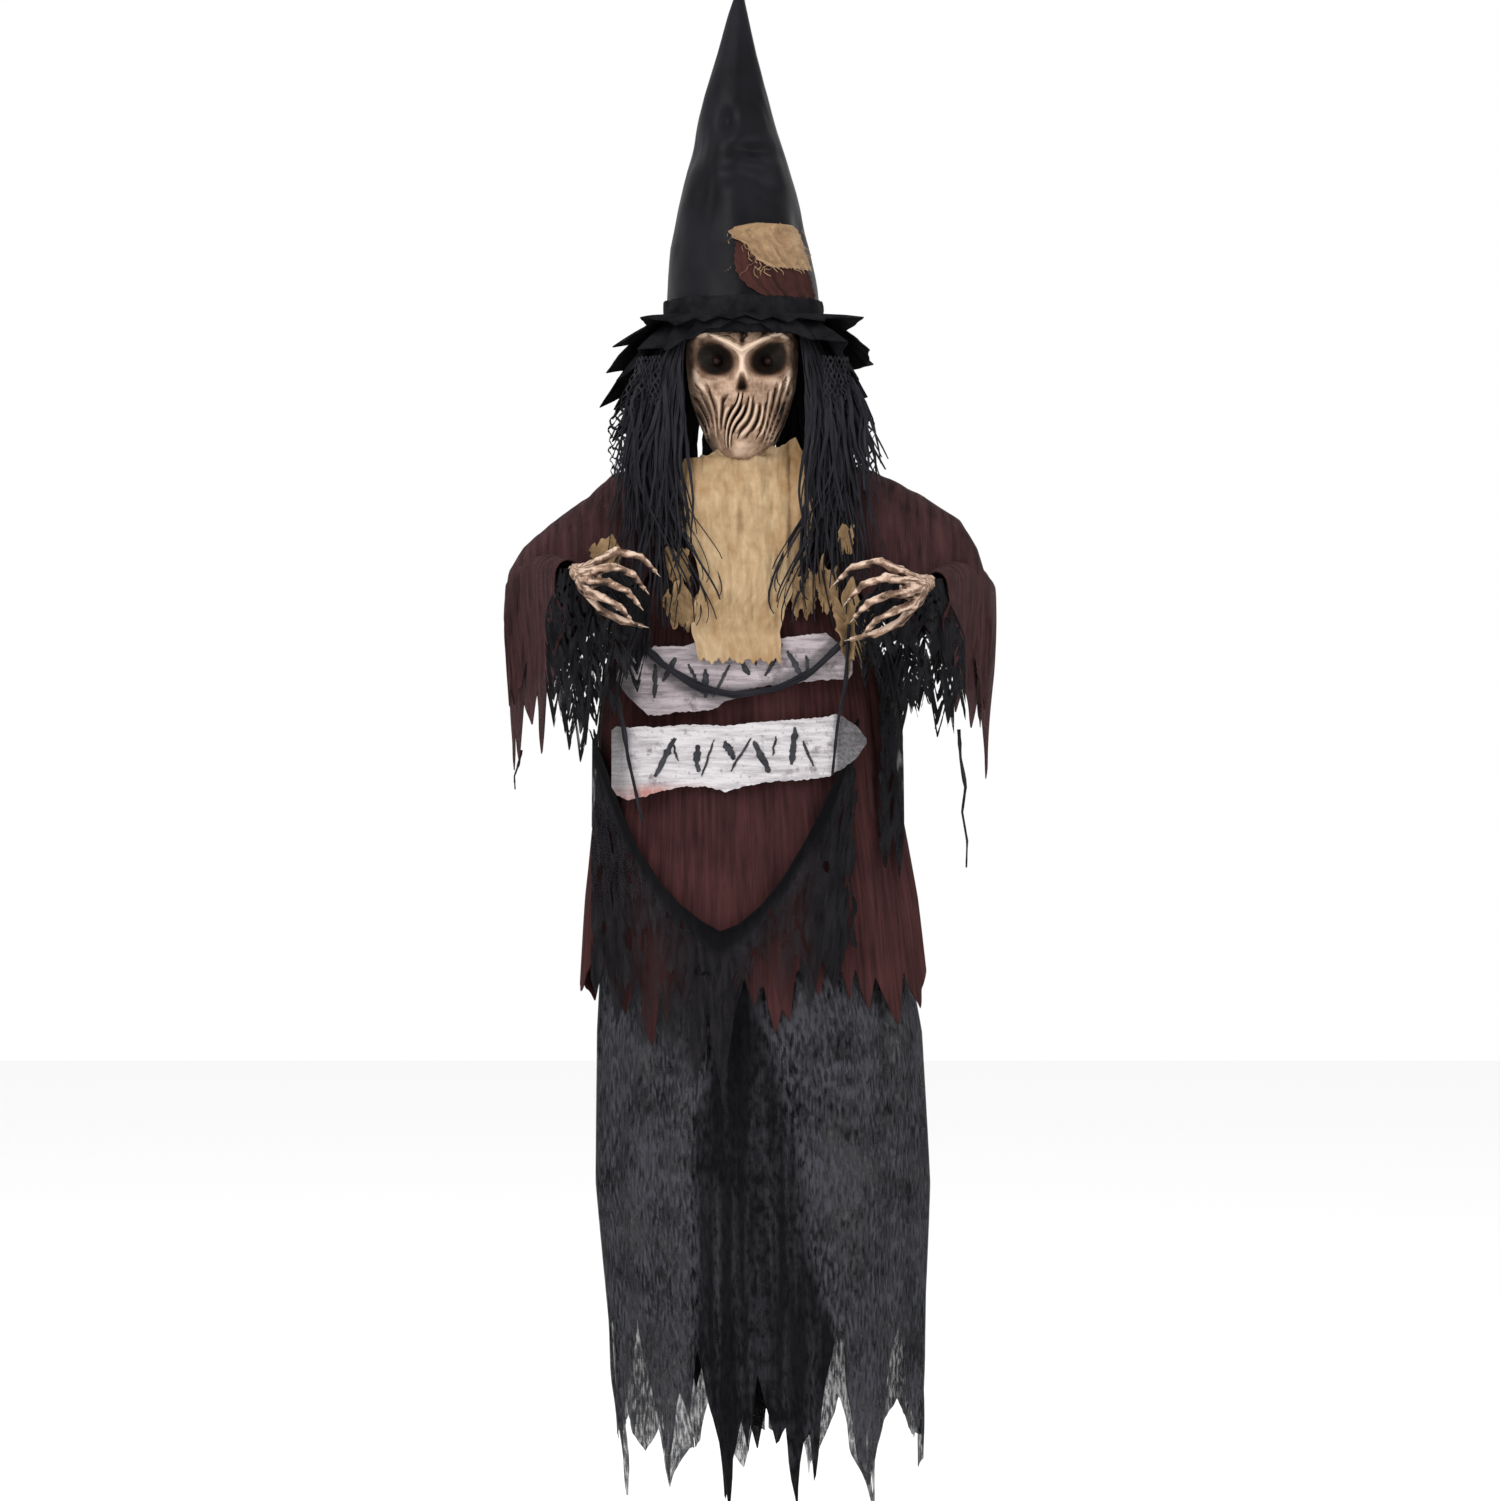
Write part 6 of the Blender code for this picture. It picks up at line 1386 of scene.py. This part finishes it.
# Hem of the black gauze at each wrist: sideways place and height
CUFF_HEM = {
    "left": millimetres(
        2, -232, -850, -222, -905, -214, -860, -204, -935, -194, -892, -184, -925, -176, -850,
        -164, -880, -150, -820, -136, -850, -120, -790),
    "right": millimetres(
        2, 146, -800, 158, -845, 168, -812, 180, -872, 190, -835, 202, -900, 212, -850, 222, -882,
        232, -838, 244, -905, 256, -860, 264, -900),
}
CUFF_TOP = {"left": -0.716, "right": -0.728}
CUFF_MIDDLE = {"left": -0.194, "right": 0.205}
CUFF_LAYERS = (("front", 0.0, 0.0), ("back", 0.026, -0.012))


def build_cuff(side, layer, back, shift):
    rows = CUFF_HEM[side]
    flat = (rows[-1][0] - rows[0][0], 0.21)
    top = CUFF_TOP[side]
    seed = 70.0 + back * 100.0 + (1.0 if side == "left" else 2.0)

    def edge(u):
        return lerp(rows[0][0], rows[-1][0], u)

    def place(u, v):
        x = edge(u)
        hem = along(rows, x)[0] + shift
        z = lerp(top, hem, v)
        gather = 1.0 - 0.45 * (1.0 - smooth_step(0.0, 0.45, v))
        x = lerp(CUFF_MIDDLE[side], x, gather)
        fold = (0.006 * rough(u * 9.0, z * 9.0, 0.0, seed)
                + 0.003 * rough(u * 28.0, z * 24.0, 0.0, seed + 1))
        return Vector((x + SIDE_SIGN[side] * shift, -0.184 + back - fold + 0.05 * (top - z), z))

    def keep(u, v):
        wide = rough(u * 13.0, v * 15.0, 0.0, seed + 2)
        fine = rough(u * 34.0, v * 42.0, 0.0, seed + 3)
        return wide < 0.30 - 0.12 * v and fine < 0.44

    bm = cloth_grid(110, 170, place, flat, keep=keep)
    cuff = make_piece(f"{side}_cuff_gauze_{layer}", bm, black_gauze, wall=0.0010)
    mark_cover(cuff, lambda co: 0.35 + 0.5 * rough(co.x * 60.0, co.y, co.z * 22.0, seed))
    fit(cuff, side + "_lower_arm", "black_gauze", side + "_cuff_gauze")
    declare_cloth(cuff, flat)


# Torn strings: name, body, points, width, taper and twist
STRINGS = (
    ("board_string_long", "frame", millimetres(
        3, -124, -120, -800, -92, -121, -830, -50, -121, -856, -10, -121, -864, 40, -121, -858,
        82, -121, -838, 122, -120, -800), 0.0115, 0.1, 0.5),
    ("board_string_left", "frame", millimetres(
        3, -150, -118.5, -862, -142, -118.5, -900, -136, -118.5, -940, -128, -118.5, -975,
        -118, -118.5, -1020), 0.007, 0.4, 0.6),
    ("board_string_right", "frame", millimetres(
        3, 128, -118.5, -780, 124, -118.5, -850, 114, -118.5, -900, 108, -118.5, -960), 0.006, 0.3,
        0.6),
    ("right_sleeve_string", "right_lower_arm", millimetres(
        3, 262, -60, -905, 264, -62, -940, 270, -62, -975, 266, -62, -1005, 272, -62, -1040,
        271, -62, -1072), 0.0062, 0.6, 0.8),
    ("right_sleeve_string_short", "right_lower_arm", millimetres(
        3, 226, -120, -845, 228, -120, -868, 233, -120, -886, 231, -120, -905), 0.0046, 0.6, 0.8),
    ("left_sleeve_string", "left_lower_arm", millimetres(
        3, -268, -30, -930, -272, -30, -948, -277, -30, -962, -276, -30, -978), 0.0044, 0.6, 0.8),
)
STRING_STEPS = 20


def build_string(name, body, places, width, taper, twist):
    rows = [(index / (len(places) - 1), *place) for index, place in enumerate(places)]
    steps = range(STRING_STEPS + 1)
    points = [Vector(along(rows, step / STRING_STEPS)) for step in steps]
    widths = [width * (1.0 - taper * step / STRING_STEPS)
              * (0.8 + 0.4 * rough(step * 0.7, 0, 0, 3.0)) for step in steps]
    across = []
    for step, point in enumerate(points):
        ahead = (points[min(step + 1, STRING_STEPS)] - points[max(step - 1, 0)]).normalized()
        side = ahead.cross(Vector((0.0, 1.0, 0.0))).normalized()
        turn = twist * math.sin(step * 0.45)
        across.append(side * math.cos(turn) + Vector((0.0, 1.0, 0.0)) * math.sin(turn))
    bm = bmesh.new()
    add_ribbon(bm, points, widths, across, 0.3)
    string = make_piece(name, bm, hair_gauze, wall=0.0009)
    fit(string, body, "black_gauze")


# ---- Hands ----

LEFT_WRIST = Vector((-0.190, -0.195, -0.722))
WRISTS = {"left": LEFT_WRIST, "right": Vector((0.213, -0.195, -0.735))}
HAND_STRETCH = {"left": 1.0, "right": 1.16}
VOXEL = 0.0011
# Each finger: knuckle, two joints and tip of the left hand
FINGERS = (
    millimetres(3, -166, -231, -709, -146, -246, -698.5, -118, -251, -704.5, -101, -247, -722),
    millimetres(3, -171, -237, -721, -150, -256, -716.5, -127, -261, -725.5, -113, -256, -742.5),
    millimetres(3, -175, -238, -734, -155, -257, -735, -133, -262, -745.5, -120, -256, -761),
    millimetres(3, -178, -233, -747, -161, -249, -753, -142, -253, -764, -131, -247, -776.5),
)
THUMB = millimetres(
    3, -184, -214, -742, -166, -224, -766, -140, -232, -779, -117, -232, -785)
FINGER_RADII = (0.0066, 0.0051, 0.0045, 0.0028)
NAIL_LENGTH = 0.013
NAIL_FLATTEN = Matrix.Diagonal((1.0, 0.55, 1.0, 1.0))


def hand_place(side, point):
    """A place on the left hand, or its mirror on the right one, longer in its fingers."""
    if side == "left":
        return Vector(point)
    offset = Vector(point) - LEFT_WRIST
    return WRISTS["right"] + Vector((-offset.x * HAND_STRETCH["right"], offset.y, offset.z * 1.04))


def add_bone(bm, start, end, start_radius, end_radius):
    """A tapered bone with a round knuckle at its start."""
    reach = end - start
    turn = reach.to_track_quat("Z", "Y").to_matrix().to_4x4()
    middle = Matrix.Translation((start + end) / 2.0) @ turn
    bmesh.ops.create_cone(bm, cap_ends=True, segments=14, radius1=start_radius * 0.86,
                          radius2=end_radius * 0.86,
                          depth=reach.length, matrix=middle)
    bmesh.ops.create_icosphere(bm, subdivisions=2, radius=start_radius,
                               matrix=Matrix.Translation(start))


def build_hand(side):
    bm = bmesh.new()
    wrist = WRISTS[side]
    cuff = wrist + (wrist - hand_place(side, (-0.176, -0.236, -0.727))) * 0.42
    for finger in FINGERS:
        knuckle = hand_place(side, finger[0])
        root = wrist.lerp(knuckle, 0.18)
        add_bone(bm, root, knuckle, 0.0092, 0.0056)
    add_bone(bm, cuff, wrist, 0.0105, 0.0125)
    thumb_root = hand_place(side, THUMB[0])
    add_bone(bm, wrist, thumb_root, 0.0110, 0.0080)
    web = hand_place(side, (-0.177, -0.222, -0.728))
    bmesh.ops.create_icosphere(bm, subdivisions=3, radius=0.0135, matrix=Matrix.Translation(web))
    for finger in (*FINGERS, THUMB):
        points = [hand_place(side, point) for point in finger]
        for index in range(3):
            add_bone(bm, points[index], points[index + 1], FINGER_RADII[index],
                     FINGER_RADII[index + 1])
        bmesh.ops.create_icosphere(bm, subdivisions=2, radius=FINGER_RADII[3],
                                   matrix=Matrix.Translation(points[3]))
    rough_hand = make_piece(side + "_rough_hand", bm, hand_bone)
    remesh = rough_hand.modifiers.new("one skin", "REMESH")
    remesh.mode = "VOXEL"
    remesh.voxel_size = VOXEL
    graph = bpy.context.evaluated_depsgraph_get()
    skin = bmesh.new()
    skin.from_mesh(rough_hand.evaluated_get(graph).to_mesh())
    bpy.data.objects.remove(rough_hand, do_unlink=True)
    for _ in range(3):
        bmesh.ops.smooth_vert(skin, verts=skin.verts, factor=0.5, use_axis_x=True, use_axis_y=True,
                              use_axis_z=True)
    skin.normal_update()
    crease = skin.verts.layers.float.new("crease")
    moves = []
    for vert in skin.verts:
        flow = (vert.co - wrist).normalized()
        cord = rough(flow.y * 16.0, flow.z * 16.0, flow.x * 3.0, 81.0)
        wrinkle = abs(rough(vert.co.x * 190.0, vert.co.y * 190.0, vert.co.z * 190.0, 82.0))
        moves.append(vert.normal * (0.0013 * cord + 0.0007 * wrinkle))
        # The crease attribute colours the hand: a brown wash with painted shade between the cords
        # and in the wrinkles, and paler latex with a painted highlight on the raised cords.
        hollow = smooth_step(0.10, -0.45, cord)
        # Faces turned downwards are darker: painted shade.
        under = smooth_step(0.2, -0.8, vert.normal.z)
        fine = 0.30 * smooth_step(0.12, 0.0, wrinkle)
        raised = 0.35 * smooth_step(0.1, 0.5, cord)
        vert[crease] = clamp(0.75 * hollow + 0.55 * under + fine - 0.30 - raised, -0.5)
    for vert, move in zip(skin.verts, moves):
        vert.co += move
    hand = make_piece(side + "_clawed_hand", skin, hand_bone)
    fit(hand, side + "_lower_arm", "bone_latex", side + "_hand")

    nails = bmesh.new()
    for finger in (*FINGERS, THUMB):
        tip, before = hand_place(side, finger[3]), hand_place(side, finger[2])
        ahead = (tip - before).normalized()
        start = tip - ahead * 0.004
        turn = ahead.to_track_quat("Z", "Y").to_matrix().to_4x4()
        middle = Matrix.Translation(start + ahead * NAIL_LENGTH / 2.0)
        bmesh.ops.create_cone(nails, cap_ends=True, segments=12, radius1=0.0029, radius2=0.0005,
                              depth=NAIL_LENGTH, matrix=middle @ turn @ NAIL_FLATTEN)
    bmesh.ops.subdivide_edges(nails, edges=[e for e in nails.edges if e.calc_length() > 0.008],
                              cuts=3)
    claws = make_piece(side + "_finger_nails", nails, nail_horn)
    fit(claws, side + "_lower_arm", "bone_latex")


# ---- Kept parts and studio ----

def finish_kept_nodes():
    for part in frame["record"]["subparts"]:
        look = slot_looks.get(part["material_slot"])
        node = frame["nodes"].get(part["node"])
        if look is None or node is None:
            continue
        for material_slot in node.material_slots:
            material_slot.material = look
        if not node.material_slots:
            node.data.materials.append(look)


FLOOR_Z = -1.98
LAMP_AIM = Vector((0.0, 0.0, -0.9))
# Each lamp: name, place, size, power in watts
LAMPS = (("key", (-2.2, -3.2, 1.6), 2.4, 130.0), ("fill", (2.6, -3.0, 0.4), 2.4, 60.0))


def build_studio():
    white, _ = new_material("studio_white", (0.92, 0.92, 0.92), 0.9, 0.1)
    bm = bmesh.new()
    bmesh.ops.create_grid(bm, x_segments=1, y_segments=1, size=9.0)
    bmesh.ops.translate(bm, verts=bm.verts, vec=(0.0, 0.0, FLOOR_Z))
    floor = make_piece("studio_floor", bm, white, smooth=False)
    world = bpy.data.worlds.new("studio")
    world.use_nodes = True
    world.node_tree.nodes["Background"].inputs["Color"].default_value = (1.0, 1.0, 1.0, 1.0)
    world.node_tree.nodes["Background"].inputs["Strength"].default_value = 1.0
    scene.world = world
    for name, place, size, energy in LAMPS:
        lamp = bpy.data.lights.new(name, "AREA")
        lamp.energy = energy
        lamp.size = size
        holder = bpy.data.objects.new(name, lamp)
        holder.location = place
        heading = LAMP_AIM - Vector(place)
        holder.rotation_euler = heading.to_track_quat("-Z", "Y").to_euler()
        scene.collection.objects.link(holder)


# ---- Everything ----

build_crown()
build_band()
build_brim("witch_hat_brim", -0.402, 0.0, 1.0, 0.0, ("hat_brim",))
build_brim("witch_hat_brim_under", -0.407, 8.0, 0.86, 0.036, ("hat_brim",))
build_patch("maroon_hat_patch", MAROON_ROWS, 0.0022, patch_cloth, "patch_maroon", "maroon_cloth",
            1.0)
build_patch("tan_hat_patch", TAN_ROWS, 0.0048, burlap, "patch_tan", "burlap", 2.0)
build_frays("tan_patch_threads", TAN_ROWS, burlap, 60, 5)
build_mask()
build_lens("left", -1.0)
build_lens("right", 1.0)
build_hair()
for side_name in SIDE_SIGN:
    build_net(side_name, SIDE_SIGN[side_name])
    build_cape(side_name)
    build_bell(side_name)
    for layer_name, back_by, shift_by in CUFF_LAYERS:
        build_cuff(side_name, layer_name, back_by, shift_by)
    build_hand(side_name)
build_bib()
for number, scrap_row in enumerate(SCRAPS):
    build_scrap(*scrap_row, number + 1.0)
build_robe()
build_skirt()
build_panel()
build_swag()
# Each board's last function darkens its ends; on the upper board it also paints the gauze's shadow.
build_board("upper_arrow_board", UPPER_BOARD, upper_board, "sign_upper", UPPER_SEED, lambda co: 0.0,
            lambda co: 0.9 * smooth_step(-0.118, -0.134, co.x) + 0.75 * upper_shade(co))
build_board("lower_arrow_board", LOWER_BOARD, lower_board, "sign_lower", LOWER_SEED,
            lambda co: smooth_step(-0.966, -0.982, co.z) * smooth_step(-0.02, -0.06, co.x),
            lambda co: 0.95 * smooth_step(0.108, 0.116, co.x)
            + 0.7 * smooth_step(-0.128, -0.146, co.x))
# Each stroke: sideways place, tilt, length, width, height on the board
UPPER_STROKES = [(-0.104 + 0.0205 * i + 0.004 * math.sin(i * 4.1), 0.60 * math.sin(i * 2.1),
                  0.030 + 0.011 * math.cos(i * 1.7), 0.0068 + 0.0028 * math.sin(i * 2.7),
                  0.50 + 0.16 * math.sin(i * 1.3)) for i in range(10)]
LOWER_STROKES = [(-0.096 + 0.0195 * i + 0.004 * math.cos(i * 3.3), 0.62 * math.sin(i * 2.6 + 1.0),
                  0.034 + 0.012 * math.cos(i * 2.3), 0.0066 + 0.0030 * math.cos(i * 3.1),
                  0.52 + 0.10 * math.sin(i * 1.9)) for i in range(10)]
build_strokes("upper_brush_strokes", UPPER_BOARD, UPPER_SEED, UPPER_STROKES)
build_strokes("lower_brush_strokes", LOWER_BOARD, LOWER_SEED, LOWER_STROKES)
for string_row in STRINGS:
    build_string(*string_row)
finish_kept_nodes()
build_studio()
